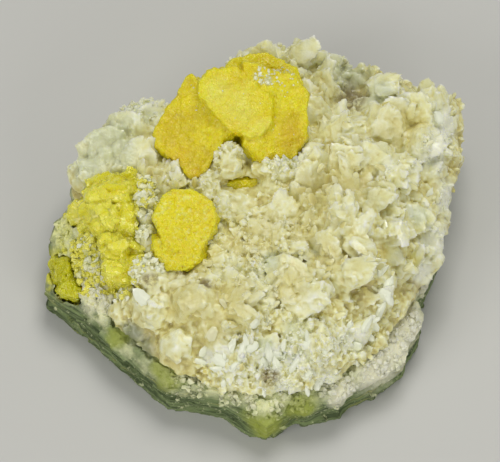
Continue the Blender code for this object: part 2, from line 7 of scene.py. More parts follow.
from __future__ import annotations

import logging
import math
from collections.abc import Callable
from dataclasses import dataclass, field
from enum import Enum

import bmesh
import bpy
import numpy as np
from mathutils import Matrix, Vector
from mathutils.bvhtree import BVHTree


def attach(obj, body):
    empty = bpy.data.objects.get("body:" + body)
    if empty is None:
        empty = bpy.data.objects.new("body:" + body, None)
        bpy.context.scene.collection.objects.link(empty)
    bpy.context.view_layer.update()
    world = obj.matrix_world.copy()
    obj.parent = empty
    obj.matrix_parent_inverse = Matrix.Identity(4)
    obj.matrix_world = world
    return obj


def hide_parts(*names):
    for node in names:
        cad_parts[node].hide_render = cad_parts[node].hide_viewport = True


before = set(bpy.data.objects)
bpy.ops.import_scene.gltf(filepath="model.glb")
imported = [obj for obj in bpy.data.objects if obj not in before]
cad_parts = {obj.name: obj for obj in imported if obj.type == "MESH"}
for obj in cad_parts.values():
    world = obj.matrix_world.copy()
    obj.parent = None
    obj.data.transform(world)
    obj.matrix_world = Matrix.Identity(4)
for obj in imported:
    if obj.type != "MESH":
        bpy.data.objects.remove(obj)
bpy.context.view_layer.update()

MM = 0.001
DISPLAY_LEAN = math.radians(30.0)  # crystal faces lean this far to the front from level
DISPLAY_WAY = np.array([0.0, -math.sin(DISPLAY_LEAN), math.cos(DISPLAY_LEAN)])
RESTING = 0.15  # points below this height stay on the level underside
WALL_TOP = 12.5  # the slab shows its broken layers below this height
BEDDING = 13.6  # crystals grow only above this height
STEEPEST = -0.25  # they grow on faces whose normals rise more than this
OUTLINE = (51.6, 50.2)  # small crystals stay this close to the middle in X and Y
DROP = 100.0  # height that places are looked down on from
Array = np.ndarray
Colour = tuple[float, float, float]
Place = tuple[float, float, float, float]
Value = bpy.types.NodeSocket | float | Colour
log = logging.getLogger("sulfur specimen")


# Noise and broken surfaces, worked out for many points at once.


def cell_value(cell: Array, seed: int) -> Array:
    """A repeatable number from 0 to 1 for each whole-number cell.

    Args:
        cell: Whole-number coordinates, the last axis of length 3.
        seed: Picks another set of numbers.

    Returns:
        One number for each cell.
    """
    mixed = cell[..., 0] * 374761393 + cell[..., 1] * 668265263 + cell[..., 2] * 1440662683
    mixed = mixed + seed * 974711
    mixed = (mixed ^ (mixed >> 13)) * 1274126177
    mixed = mixed ^ (mixed >> 16)
    return (mixed & 0xFFFF) / 65535.0


def smooth_noise(points: Array, size: float, seed: int) -> Array:
    """Smooth noise from -1 to 1 with features of about one size.

    Args:
        points: Places in millimetres, one to a row.
        size: Distance between features.
        seed: Picks another pattern.

    Returns:
        One value for each point.
    """
    place = points / size
    base = np.floor(place).astype(np.int64)
    share = place - base
    share = share * share * (3.0 - 2.0 * share)
    total = np.zeros(len(points))
    for corner in np.ndindex(2, 2, 2):
        offset = np.array(corner)
        weight = np.prod(np.where(offset == 1, share, 1.0 - share), axis=1)
        total += weight * cell_value(base + offset, seed)
    return total * 2.0 - 1.0


def rough_noise(points: Array, layers: tuple[tuple[float, float], ...], seed: int) -> Array:
    """Several sizes of smooth noise laid over each other.

    Args:
        points: Places in millimetres, one to a row.
        layers: Pairs of feature size and height, both in millimetres.
        seed: Picks another pattern.

    Returns:
        The summed height at each point.
    """
    total = np.zeros(len(points))
    for step, (size, height) in enumerate(layers):
        total += height * smooth_noise(points, size, seed + step * 31)
    return total


def broken_facets(points: Array, size: float, slope: float, step: float, seed: int) -> Array:
    """Heights of a surface broken into flat facets that tilt at random.

    Args:
        points: Places in millimetres, one to a row.
        size: Width of a facet.
        slope: How steeply the facets tilt.
        step: Largest difference in height between facets.
        seed: Picks another pattern.

    Returns:
        The height at each point.
    """
    base = np.floor(points / size).astype(np.int64)
    nearest = np.full(len(points), np.inf)
    best_cell = np.zeros_like(base)
    best_away = np.zeros_like(points)
    for corner in np.ndindex(3, 3, 3):
        cell = base + np.array(corner) - 1
        jitter = np.stack([cell_value(cell, seed + axis) for axis in range(3)], axis=1)
        away = points - (cell + 0.15 + 0.7 * jitter) * size
        distance = np.einsum("ij,ij->i", away, away)
        closer = distance < nearest
        nearest = np.where(closer, distance, nearest)
        best_cell[closer] = cell[closer]
        best_away[closer] = away[closer]
    tilt = np.stack([cell_value(best_cell, seed + 7 + axis) for axis in range(3)], axis=1)
    lift = cell_value(best_cell, seed + 11) * 2.0 - 1.0
    return np.einsum("ij,ij->i", best_away, tilt * 2.0 - 1.0) * slope + lift * step


@dataclass(frozen=True)
class Patch:
    """A round region of the specimen, in millimetres, where something is stronger or weaker."""

    x: float
    y: float
    radius: float
    amount: float = 1.0


def patch_strength(points: Array, patches: tuple[Patch, ...]) -> Array:
    """Sum of soft round patches seen from above.

    Args:
        points: Places in millimetres, one to a row.
        patches: The patches.

    Returns:
        The summed strength at each point.
    """
    total = np.zeros(len(points))
    for patch in patches:
        away = (points[:, 0] - patch.x) ** 2 + (points[:, 1] - patch.y) ** 2
        total += patch.amount * np.exp(-away / patch.radius**2)
    return total


# Meshes.


@dataclass
class Skin:
    """Triangles of one surface in millimetres, for shaping and for placing things on."""

    points: Array
    faces: Array

    def face_frames(self) -> tuple[Array, Array, Array]:
        """Middle, unit normal and area of each triangle."""
        a, b, c = (self.points[self.faces[:, corner]] for corner in range(3))
        cross = np.cross(b - a, c - a)
        length = np.linalg.norm(cross, axis=1)
        return (a + b + c) / 3.0, cross / np.maximum(length, 1e-9)[:, None], length / 2.0

    def normals(self) -> Array:
        """Unit normal at each point."""
        a, b, c = (self.points[self.faces[:, corner]] for corner in range(3))
        cross = np.cross(b - a, c - a)
        total = np.zeros_like(self.points)
        for corner in range(3):
            np.add.at(total, self.faces[:, corner], cross)
        return total / np.maximum(np.linalg.norm(total, axis=1), 1e-9)[:, None]

    def crests(self, spread: int) -> Array:
        """How far each point stands out from the points round it, in millimetres.

        Args:
            spread: How many rings of neighbours it is measured against.

        Returns:
            Above 0 on crests and below 0 in crevices.
        """
        edges = np.concatenate([self.faces[:, [0, 1]], self.faces[:, [1, 2]], self.faces[:, [2, 0]]])
        count = np.bincount(edges[:, 0], minlength=len(self.points))[:, None]
        even = self.points
        for _ in range(spread):
            total = np.zeros_like(even)
            for axis in range(3):
                total[:, axis] = np.bincount(edges[:, 0], even[edges[:, 1], axis], len(even))
            even = 0.5 * even + 0.5 * total / np.maximum(count, 1)
        return np.einsum("ij,ij->i", self.points - even, self.normals())

    def push(self, height: Array) -> None:
        """Moves each point along its normal by a height, and keeps the underside level.

        Args:
            height: Height of each point in millimetres.
        """
        resting = self.points[:, 2] < RESTING
        self.points = self.points + self.normals() * height[:, None]
        self.points[resting, 2] = 0.0
        self.points[:, 2] = np.maximum(self.points[:, 2], 0.0)


class Relief:
    """The general level of a skin, seen from above, to tell crests from crevices."""

    def __init__(self, skin: Skin, cell: float = 1.0, spread: int = 4) -> None:
        """Takes the highest point in each square and evens it out.

        Args:
            skin: The surface.
            cell: Width of a square in millimetres.
            spread: How many squares the level is evened out over.
        """
        self.cell = cell
        self.corner = skin.points[:, :2].min(axis=0) - 2 * cell
        shape = np.ceil((skin.points[:, :2].max(axis=0) - self.corner) / cell).astype(int) + 3
        level = np.zeros(shape)
        square = ((skin.points[:, :2] - self.corner) / cell).astype(int)
        np.maximum.at(level, (square[:, 0], square[:, 1]), skin.points[:, 2])
        known = (level > 0).astype(float)
        for _ in range(spread * 2):
            level, known = eased(level), eased(known)
        self.level = level / np.maximum(known, 1e-3)
        self.known = known

    def within(self, points: Array) -> Array:
        """From 0 at the skin's rim to 1 well within it."""
        return np.clip((self.known[self.squares(points)] - 0.62) / 0.36, 0.0, 1.0)

    def standing(self, points: Array) -> Array:
        """How far points stand above the general level, in millimetres."""
        return points[:, 2] - self.level[self.squares(points)]

    def squares(self, points: Array) -> tuple[Array, Array]:
        """Row and column of the square that holds each point.

        Args:
            points: Places in millimetres.

        Returns:
            The rows and the columns.
        """
        square = ((points[:, :2] - self.corner) / self.cell).astype(int)
        square = np.clip(square, 0, np.array(self.level.shape) - 1)
        return square[:, 0], square[:, 1]


def eased(grid: Array) -> Array:
    """Each square of a grid evened out with its neighbours.

    Args:
        grid: One value for each square.

    Returns:
        The evened grid.
    """
    around = np.pad(grid, 1, mode="edge")
    across = (around[:-2] + around[1:-1] + around[2:]) / 3.0
    return (across[:, :-2] + across[:, 1:-1] + across[:, 2:]) / 3.0


def solid_points(node: str) -> tuple[Array, Array]:
    """Corners in millimetres and triangles of one solid of the model, its seams joined.

    Args:
        node: Name of the solid.

    Returns:
        Its corners and its triangles.
    """
    mesh = bmesh.new()
    mesh.from_mesh(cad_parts[node].data)
    bmesh.ops.remove_doubles(mesh, verts=mesh.verts, dist=1e-6)
    bmesh.ops.triangulate(mesh, faces=mesh.faces)
    mesh.verts.index_update()
    points = np.array([corner.co[:] for corner in mesh.verts]) / MM
    faces = np.array([[corner.index for corner in face.verts] for face in mesh.faces])
    mesh.free()
    return points, faces


def fused_skin(points: Array, faces: Array, cell: float, relax: int, keep: float = 1.0) -> Skin:
    """One closed skin over shapes that run into each other.

    Args:
        points: Corners of the shapes in millimetres.
        faces: Their triangles.
        cell: Size of the skin's squares in millimetres.
        relax: How many times the skin's edges are eased.
        keep: Share of the triangles that stay; flat places lose theirs first.

    Returns:
        The skin, in millimetres.
    """
    holder = held(points, faces)
    remesh = holder.modifiers.new("Remesh", "REMESH")
    remesh.mode = "VOXEL"
    remesh.voxel_size = cell * MM
    if relax:
        ease = holder.modifiers.new("Smooth", "SMOOTH")
        ease.iterations = relax
        ease.factor = 0.5
    if keep < 1.0:
        holder.modifiers.new("Decimate", "DECIMATE").ratio = keep
    return taken(holder)


def thinned(skin: Skin, keep: float) -> Skin:
    """The same skin with a share of its triangles; flat places lose theirs first.

    Args:
        skin: The surface.
        keep: Share of the triangles that stay.

    Returns:
        The thinner skin.
    """
    holder = held(skin.points, skin.faces)
    holder.modifiers.new("Decimate", "DECIMATE").ratio = keep
    return taken(holder)


def held(points: Array, faces: Array) -> bpy.types.Object:
    """An object of its own for points in millimetres, for modifiers to work on.

    Args:
        points: Places in millimetres.
        faces: Corner numbers of each face.

    Returns:
        The new object.
    """
    data = bpy.data.meshes.new("skin source")
    data.from_pydata((points * MM).tolist(), [], faces.tolist())
    holder = bpy.data.objects.new("skin source", data)
    bpy.context.scene.collection.objects.link(holder)
    return holder


def taken(holder: bpy.types.Object) -> Skin:
    """The triangles of an object with its modifiers, which is then thrown away.

    Args:
        holder: The object.

    Returns:
        Its skin in millimetres.
    """
    holder.modifiers.new("Triangulate", "TRIANGULATE")
    bpy.context.view_layer.update()
    made = holder.evaluated_get(bpy.context.evaluated_depsgraph_get()).to_mesh()
    corners = np.zeros(len(made.vertices) * 3)
    made.vertices.foreach_get("co", corners)
    triangles = np.zeros(len(made.polygons) * 3, dtype=np.int64)
    made.polygons.foreach_get("vertices", triangles)
    bpy.data.objects.remove(holder)
    return Skin(corners.reshape(-1, 3) / MM, triangles.reshape(-1, 3))


def add_piece(
    name: str,
    points: Array,
    faces: Array,
    material: bpy.types.Material,
    crease: float = 180.0,
    shade: Array | None = None,
) -> bpy.types.Object:
    """Makes a shown object out of points and faces.

    Args:
        name: Name of the piece.
        points: Places in millimetres.
        faces: Corner numbers, three or four to a face.
        material: Its finish.
        crease: Edges sharper than this angle in degrees stay sharp.
        shade: How pale each point is, from 0 to 1, for finishes that use it.

    Returns:
        The new object.
    """
    data = bpy.data.meshes.new(name)
    data.from_pydata((points * MM).tolist(), [], faces.tolist())
    data.polygons.foreach_set("use_smooth", np.full(len(data.polygons), True))
    data.set_sharp_from_angle(angle=math.radians(crease))
    if shade is not None:
        paleness = data.attributes.new("shade", "FLOAT", "POINT")
        paleness.data.foreach_set("value", np.clip(shade, 0.0, 1.0))
    data.materials.append(material)
    data.update()
    piece = bpy.data.objects.new(name, data)
    bpy.context.scene.collection.objects.link(piece)
    return piece


def show(piece: bpy.types.Object, slot: str, *nodes: str) -> bpy.types.Object:
    """Fixes a piece to the specimen and hides the solids it stands for.

    Args:
        piece: The piece.
        slot: Not used.
        nodes: The solids that it stands for.

    Returns:
        The piece.
    """
    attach(piece, "root")
    if nodes:
        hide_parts(*nodes)
    log.info("%s: %d faces", piece.name, len(piece.data.polygons))
    return piece


class Gathering:
    """Many small closed shapes that become one piece."""

    def __init__(self) -> None:
        """Starts with nothing gathered."""
        self.points: list[Array] = []
        self.faces: list[Array] = []
        self.shades: list[Array] = []
        self.count = 0

    def add(self, points: Array, faces: Array, shade: Array | float = 0.0) -> None:
        """Adds one shape, its points in millimetres and how pale each is.

        Args:
            points: Places in millimetres.
            faces: Its triangles, numbered from 0.
            shade: How pale it is, or each point is.
        """
        self.points.append(points)
        self.faces.append(faces + self.count)
        self.shades.append(np.zeros(len(points)) + shade)
        self.count += len(points)

    def piece(self, name: str, material: bpy.types.Material, crease: float) -> bpy.types.Object:
        """Makes the gathered shapes into one object.

        Args:
            name: Name of the piece.
            material: Its finish.
            crease: Edges sharper than this angle in degrees stay sharp.

        Returns:
            The new object.
        """
        points, faces = self.joined()
        return add_piece(name, points, faces, material, crease, np.concatenate(self.shades))

    def joined(self) -> tuple[Array, Array]:
        """All the gathered points and triangles."""
        return np.concatenate(self.points), np.concatenate(self.faces)


def display_turn(turn: float, tilt: float, swing: float) -> Array:
    """Rotation of a crystal that is turned in the display face and tipped out of it, in degrees.

    Args:
        turn: Turn about the display face's normal.
        tilt: Tip about its own X.
        swing: Tip about its own Y.

    Returns:
        The rotation as a matrix.
    """
    lean = Matrix.Rotation(DISPLAY_LEAN, 3, "X")
    spin = Matrix.Rotation(math.radians(turn), 3, "Z")
    tip = Matrix.Rotation(math.radians(tilt), 3, "X") @ Matrix.Rotation(math.radians(swing), 3, "Y")
    return np.array(lean @ spin @ tip)


def turn_to(way: Array, spin: float) -> Array:
    """Rotation that sets Z along a direction, after a spin about Z in radians."""
    axis = Vector((0, 0, 1)).rotation_difference(Vector(way)).to_matrix()
    return np.array(axis @ Matrix.Rotation(spin, 3, "Z"))


def blade_shape(
    steps: int, rings: int, rng: np.random.Generator, ragged: float = 0.03
) -> tuple[Array, Array, Array]:
    """A spear-shaped crystal one unit long, wide and thick, with flat faces that meet in a crest.

    Args:
        steps: Points along each side of its outline.
        rings: Rings of points from the rim to the crest.
        rng: Source of the random draws.
        ragged: How far the outline wanders, as a share of its size.

    Returns:
        Its points, its triangles, and how near the rim each point is, from 0 to 1.
    """
    corners = np.array(
        [(0.5, 0.0), (0.34, 0.25), (0.08, 0.46), (-0.3, 0.46), (-0.5, 0.14),
         (-0.5, -0.14), (-0.3, -0.46), (0.08, -0.46), (0.34, -0.25)]
    )
    blunt = rng.random()
    corners[1] += (0.08 * blunt, 0.05 * blunt)
    corners[8] += (0.08 * blunt, -0.05 * blunt)
    corners[0, 0] -= 0.06 * blunt
    corners = corners + rng.normal(0, 0.035, corners.shape)
    share = np.arange(steps) / steps
    after = np.roll(corners, -1, axis=0)
    outline = (corners[:, None] + (after - corners)[:, None] * share[None, :, None]).reshape(-1, 2)
    outline *= 1.0 + ragged * rng.standard_normal(len(outline))[:, None]
    count = len(outline)
    crest = np.stack([np.clip(outline[:, 0] * 0.75, -0.3, 0.3), rng.normal(0, 0.05, count)], axis=1)
    seed = int(rng.integers(1, 9999))
    layers: list[Array] = []
    near: list[Array] = []
    for side in (1.0, -1.0):
        for ring in range(rings, 0, -1):
            if side < 0 and ring == rings:
                continue
            inward = 0.88 * (1.0 - ring / rings)
            flat = outline * (1.0 - inward) + crest * inward
            layers.append(np.column_stack([flat, np.full(count, 0.5 * side * inward**0.6)]))
            near.append(np.full(count, 1.0 - inward))
        layers.append(np.array([[0.0, 0.0, 0.5 * side]]))
        near.append(np.zeros(1))
    points, near_rim = np.concatenate(layers), np.concatenate(near)
    streak = smooth_noise(points * np.array([1.2, 7.0, 0.2]) + seed, 1.0, seed)
    lump = smooth_noise(points * 4.0 + seed, 1.0, seed + 1)
    points[:, 2] += (0.05 * streak + 0.05 * lump) * (near_rim < 0.999)
    grid = np.arange(rings * count).reshape(rings, count)
    peak = rings * count
    under = np.arange((rings - 1) * count).reshape(rings - 1, count) + peak + 1
    pit = peak + 1 + (rings - 1) * count
    top_faces = dome_faces(grid[::-1], peak, False)
    under_faces = dome_faces(np.concatenate([under[::-1], grid[:1]]), pit, True)
    return points, np.concatenate([top_faces, under_faces]), near_rim


def dome_faces(grid: Array, middle: int, flip: bool) -> Array:
    """Triangles of rings of points round a middle point, turned over where flip says so.

    Args:
        grid: Point numbers, one ring to a row, the innermost first.
        middle: Number of the middle point.
        flip: Whether the triangles face the other way.

    Returns:
        The triangles.
    """
    after = np.roll(grid, -1, axis=1)
    faces = [np.stack([np.full(grid.shape[1], middle), grid[0], after[0]], axis=1)]
    for inner, outer in zip(range(len(grid) - 1), range(1, len(grid))):
        faces.append(np.stack([grid[inner], grid[outer], after[outer]], axis=1))
        faces.append(np.stack([grid[inner], after[outer], after[inner]], axis=1))
    joined = np.concatenate(faces)
    return joined[:, ::-1] if flip else joined


def ball_shape() -> tuple[Array, Array]:
    """A rough ball one unit in radius.

    Returns:
        Its points and its triangles.
    """
    angle = np.arange(12) / 12 * math.tau
    rise = np.linspace(1.2, -1.2, 6)
    level = np.stack([np.cos(angle), np.sin(angle)], axis=1)
    rings = [np.column_stack([level * math.cos(turn), np.full(12, math.sin(turn))]) for turn in rise]
    points = np.concatenate([*rings, [[0.0, 0.0, 1.0], [0.0, 0.0, -1.0]]])
    grid = np.arange(72).reshape(6, 12)
    return points, np.concatenate([dome_faces(grid, 72, False), dome_faces(grid[-1:], 73, True)])


def point_shape(rng: np.random.Generator) -> tuple[Array, Array]:
    """A small blocky crystal with a three-sided tip, its foot below zero and its tip at one.

    Args:
        rng: Source of the random draws.

    Returns:
        Its points and its triangles.
    """
    angle = np.arange(6) / 6 * math.tau + rng.uniform(0, 1)
    flat = rng.uniform(0.45, 1.0)
    uneven = rng.uniform(0.85, 1.15, 6)
    ring = np.stack([np.cos(angle) * uneven, np.sin(angle) * flat * uneven], axis=1) * 0.5
    shoulder = rng.uniform(0.3, 0.75) + np.where(np.arange(6) % 2, 0.16, -0.08)
    waist = np.column_stack([ring, shoulder])
    foot = np.column_stack([ring * 0.85, np.full(6, -0.6)])
    tip = np.array([[rng.uniform(-0.12, 0.12), rng.uniform(-0.12, 0.12), 1.0], [0.0, 0.0, -0.65]])
    points = np.concatenate([waist, foot, tip])
    side = dome_faces(np.stack([np.arange(6), np.arange(6, 12)]), 12, False)
    base = dome_faces(np.arange(6, 12)[None, :], 13, True)
    return points, np.concatenate([side, base])


def grain_shape(rng: np.random.Generator) -> tuple[Array, Array]:
    """A broken grain about one unit wide: a five-sided drum with pointed ends, knocked out of shape.

    Args:
        rng: Source of the random draws.

    Returns:
        Its points and its triangles.
    """
    ring = np.arange(5) / 5 * math.tau
    upper = np.stack([np.cos(ring) * 0.42, np.sin(ring) * 0.42, np.full(5, 0.22)], axis=1)
    lower = np.stack([np.cos(ring + 0.6) * 0.45, np.sin(ring + 0.6) * 0.45, np.full(5, -0.22)], axis=1)
    points = np.concatenate([upper, lower, [[0, 0, 0.42], [0, 0, -0.42]]])
    points = points + rng.normal(0, 0.12, points.shape)
    body = dome_faces(np.stack([np.arange(5), np.arange(5, 10)]), 10, False)
    base = dome_faces(np.arange(5, 10)[None, :], 11, True)
    return points, np.concatenate([body, base])


# Finishes.


class Graph:
    """Short calls that build the nodes of one material."""

    def __init__(self, name: str) -> None:
        """Starts a material with its shader and the place of each shaded point in millimetres.

        Args:
            name: Name of the material.
        """
        self.material = bpy.data.materials.new(name)
        self.material.use_nodes = True
        self.nodes = self.material.node_tree.nodes
        self.links = self.material.node_tree.links
        self.shader = self.nodes["Principled BSDF"]
        coordinates = self.nodes.new("ShaderNodeTexCoord")
        scaled = self.nodes.new("ShaderNodeVectorMath")
        scaled.operation = "SCALE"
        scaled.inputs["Scale"].default_value = 1.0 / MM
        self.links.new(coordinates.outputs["Object"], scaled.inputs[0])
        self.place = scaled.outputs[0]

    def set(self, **values: float | tuple) -> None:
        """Sets plain values on the shader's own sockets, with underscores for spaces."""
        for name, value in values.items():
            self.shader.inputs[name.replace("_", " ")].default_value = value

    def feed(self, socket: bpy.types.NodeSocket, value: Value) -> None:
        """Links a node's output to a socket, or sets a plain value on it.

        Args:
            socket: The socket.
            value: A node's output, a number or a colour.
        """
        if isinstance(value, bpy.types.NodeSocket):
            self.links.new(value, socket)
        elif isinstance(value, tuple) and len(value) == 3 and socket.type == "RGBA":
            socket.default_value = (*value, 1.0)
        else:
            socket.default_value = value

    def stretched(self, x: float, y: float, z: float) -> bpy.types.NodeSocket:
        """The place of each point, multiplied along each axis.

        Args:
            x: Factor along X.
            y: Factor along Y.
            z: Factor along Z.

        Returns:
            The place's output.
        """
        node = self.nodes.new("ShaderNodeVectorMath")
        node.operation = "MULTIPLY"
        self.links.new(self.place, node.inputs[0])
        node.inputs[1].default_value = (x, y, z)
        return node.outputs[0]

    def noise(
        self,
        size: float,
        detail: float = 3.0,
        where: bpy.types.NodeSocket | None = None,
        shift: float = 0.0,
    ) -> bpy.types.NodeSocket:
        """Noise from 0 to 1 with features of a size in millimetres.

        Args:
            size: Feature size.
            detail: How many finer layers it has.
            where: Another place to take it at.
            shift: Moves the pattern.

        Returns:
            The noise's output.
        """
        node = self.nodes.new("ShaderNodeTexNoise")
        node.noise_dimensions = "4D"
        self.links.new(where or self.place, node.inputs["Vector"])
        node.inputs["W"].default_value = shift
        node.inputs["Scale"].default_value = 1.0 / size
        node.inputs["Detail"].default_value = detail
        node.inputs["Roughness"].default_value = 0.6
        return node.outputs["Fac"]

    def cells(self, size: float) -> bpy.types.NodeSocket:
        """A pattern of cells of a size in millimetres.

        Args:
            size: Width of a cell.

        Returns:
            Distance to the nearest cell's middle.
        """
        node = self.nodes.new("ShaderNodeTexVoronoi")
        self.links.new(self.place, node.inputs["Vector"])
        node.inputs["Scale"].default_value = 1.0 / size
        return node.outputs["Distance"]

    def band(self, value: Value, low: float, high: float) -> bpy.types.NodeSocket:
        """Maps low to 0 and high to 1, held at both ends.

        Args:
            value: What is mapped.
            low: Becomes 0.
            high: Becomes 1.

        Returns:
            The mapped value's output.
        """
        node = self.nodes.new("ShaderNodeMapRange")
        node.interpolation_type = "SMOOTHSTEP"
        self.feed(node.inputs["Value"], value)
        node.inputs["From Min"].default_value = low
        node.inputs["From Max"].default_value = high
        return node.outputs["Result"]

    def calc(
        self, kind: str, first: Value, second: Value = 0.0, held: bool = True
    ) -> bpy.types.NodeSocket:
        """One sum of two values.

        Args:
            kind: Blender's name of the sum.
            first: The first value.
            second: The second value.
            held: Whether the answer is held between 0 and 1.

        Returns:
            The answer's output.
        """
        node = self.nodes.new("ShaderNodeMath")
        node.operation = kind
        node.use_clamp = held
        self.feed(node.inputs[0], first)
        self.feed(node.inputs[1], second)
        return node.outputs[0]

    def mix(self, share: Value, first: Value, second: Value) -> bpy.types.NodeSocket:
        """Mixes two colours by a share.

        Args:
            share: 0 for the first colour and 1 for the second.
            first: The first colour.
            second: The second colour.

        Returns:
            The mixed colour's output.
        """
        node = self.nodes.new("ShaderNodeMix")
        node.data_type = "RGBA"
        self.feed(node.inputs[0], share)
        self.feed(node.inputs[6], first)
        self.feed(node.inputs[7], second)
        return node.outputs[2]

    def laid(self, colour: Value, over: Colour, mask: Value, share: Value) -> bpy.types.NodeSocket:
        """Lays one colour over another where a mask is, by a share."""
        return self.mix(self.calc("MULTIPLY", mask, share), colour, over)

    def near(
        self, x: float, y: float, z: float, radius: float, ragged: bpy.types.NodeSocket
    ) -> bpy.types.NodeSocket:
        """A soft round mask about a place in millimetres, its edge made ragged by a noise.

        Args:
            x: Place of its middle along X.
            y: Place of its middle along Y.
            z: Place of its middle along Z.
            radius: How far it reaches.
            ragged: Noise from 0 to 1.

        Returns:
            The mask's output.
        """
        node = self.nodes.new("ShaderNodeVectorMath")
        node.operation = "DISTANCE"
        self.links.new(self.place, node.inputs[0])
        node.inputs[1].default_value = (x, y, z)
        spread = self.nodes.new("ShaderNodeMath")
        spread.operation = "MULTIPLY_ADD"
        self.links.new(ragged, spread.inputs[0])
        spread.inputs[1].default_value = radius * 1.1
        self.links.new(node.outputs["Value"], spread.inputs[2])
        radius *= 1.55
        return self.band(spread.outputs[0], radius, radius * 0.55)

    def masks(self, places: tuple[Place, ...], ragged: bpy.types.NodeSocket) -> bpy.types.NodeSocket:
        """Several round masks joined as one.

        Args:
            places: Middle and radius of each.
            ragged: Noise that makes the edges ragged.

        Returns:
            The joined mask's output.
        """
        joined = self.near(*places[0], ragged)
        for place in places[1:]:
            joined = self.calc("MAXIMUM", joined, self.near(*place, ragged))
        return joined

    def attribute(self, name: str) -> bpy.types.NodeSocket:
        """A number kept at each point of the mesh.

        Args:
            name: Name of the number.

        Returns:
            The number's output.
        """
        node = self.nodes.new("ShaderNodeAttribute")
        node.attribute_name = name
        return node.outputs["Fac"]

    def ramp(self, share: Value, stops: tuple[tuple[float, Colour], ...]) -> bpy.types.NodeSocket:
        """A run of colours along a share from 0 to 1.

        Args:
            share: Where along the run.
            stops: Place and colour of each stop.

        Returns:
            The colour's output.
        """
        node = self.nodes.new("ShaderNodeValToRGB")
        self.feed(node.inputs[0], share)
        band = node.color_ramp.elements
        while len(band) < len(stops):
            band.new(0.5)
        for element, (place, colour) in zip(band, stops):
            element.position = place
            element.color = (*colour, 1.0)
        return node.outputs[0]

    def roughness(self, share: Value, low: float, high: float) -> None:
        """Sets the shader's roughness between two values by a share.

        Args:
            share: A noise about 0.5.
            low: The least roughness.
            high: The greatest roughness.
        """
        node = self.nodes.new("ShaderNodeMapRange")
        self.feed(node.inputs["Value"], share)
        node.inputs["From Min"].default_value = 0.25
        node.inputs["From Max"].default_value = 0.75
        node.inputs["To Min"].default_value = low
        node.inputs["To Max"].default_value = high
        self.links.new(node.outputs["Result"], self.shader.inputs["Roughness"])

    def height(self) -> bpy.types.NodeSocket:
        """Height above the underside in millimetres."""
        node = self.nodes.new("ShaderNodeSeparateXYZ")
        self.links.new(self.place, node.inputs[0])
        return node.outputs["Z"]

    def per_island(self) -> bpy.types.NodeSocket:
        """A random number for each separate crystal."""
        return self.nodes.new("ShaderNodeNewGeometry").outputs["Random Per Island"]

    def bump(self, height: Value, depth: float, strength: float = 1.0) -> None:
        """Adds a bump of a depth in millimetres to the shader, over any that it has.

        Args:
            height: Height from 0 to 1.
            depth: Depth in millimetres.
            strength: How strong it is.
        """
        node = self.nodes.new("ShaderNodeBump")
        node.inputs["Strength"].default_value = strength
        node.inputs["Distance"].default_value = depth * MM
        self.feed(node.inputs["Height"], height)
        socket = self.shader.inputs["Normal"]
        if socket.is_linked:
            self.links.new(socket.links[0].from_socket, node.inputs["Normal"])
        self.links.new(node.outputs["Normal"], socket)


# Where the calcite and the sulfur change colour: X, Y, Z and radius of each soft round patch.
HONEY_PLACES = (
    (-15, -26, 26, 9), (-5, -26, 28, 9), (10, -7, 25, 8), (2, -8, 27, 8), (17, -13, 27, 7),
    (21, 3, 29, 8), (13, 3, 29, 8), (-1, -10, 25, 7), (8, -21, 27, 7), (-10, -30, 21, 6),
    (34, 20, 29, 8), (-14, -15, 24, 7),
)
GREY_PLACES = (
    (-35, 19, 26, 11), (-40, 15, 22, 7), (-27, 26, 23, 7), (4, -15, 27, 3.5), (22, 40, 21, 8),
    (30, 31, 28, 6), (10, -30, 21, 5), (15, -11, 25, 3), (-30, -28, 15, 4), (39, -1, 25, 4),
    (2, -34, 21, 3),
)
WHITE_PLACES = (
    (44, 15, 28, 8), (46, 24, 26, 7), (45, 7, 19, 7), (43, -4, 18, 7), (40, -12, 17, 5),
    (7, -42, 13, 5), (10, -35, 17, 5), (3, -36, 19, 4), (31, -21, 23, 4), (24, -31, 18, 5),
    (-11, -35, 17, 3), (-26, 30, 23, 6), (31, 10, 29, 4), (17, -39, 14, 4),
)
# Brown flecks: staining, and painted shadow at the feet of the sulfur and round the lower crystal in its
# hole.
BROWN_STAIN_AND_SHADOW_PLACES = (
    (23.5, 31.5, 24, 6.5), (-18, -15, 24, 3.5), (-25, -18, 23, 3.0), (-12, -21, 26, 2.5),
    (-3.7, 10.8, 27, 1.0), (1.5, 5.8, 25, 1.6), (8.2, 10, 25, 1.5), (3, -40, 16, 3.5),
    (12.3, 15.5, 26, 2.0), (-24, 17, 24, 2.0), (-7.3, 0.7, 23, 2.5),
)
SLATE_PLACES = ((-30, -27.5, 15, 4.5), (-26, -31, 14, 4), (-20, -36, 12, 3))
# Painted shade: the hollows are painted dark brown.
HOLLOW_SHADE_PLACES = (
    (23.5, 34.8, 20.0, 5.0), (24.0, 31.5, 22.5, 3.6), (21.5, 33.5, 22, 2.6), (-24.0, -18.5, 21, 1.8),
)
PALE_SULFUR_PLACES = ((-4, 20, 40, 7.5), (-9, 25, 38, 5.5), (1, 15, 37, 5.5))
DEEP_SULFUR_PLACES = (
    (-17, 20, 30, 8), (-13, 11, 28, 7), (-19, 27, 31, 6), (8, 20, 33, 4), (2, 31, 37, 4),
)
WHITE_SULFUR_PLACES = ((0.3, 28.9, 39.5, 1.7), (2.8, 28.0, 39.0, 1.7), (7.5, 27.5, 37.0, 1.2))
ORANGE_SULFUR_PLACES = ((9, 16, 33, 6), (-18, 14, 27, 5), (-14, 7, 28, 4), (3, 11, 28, 4))
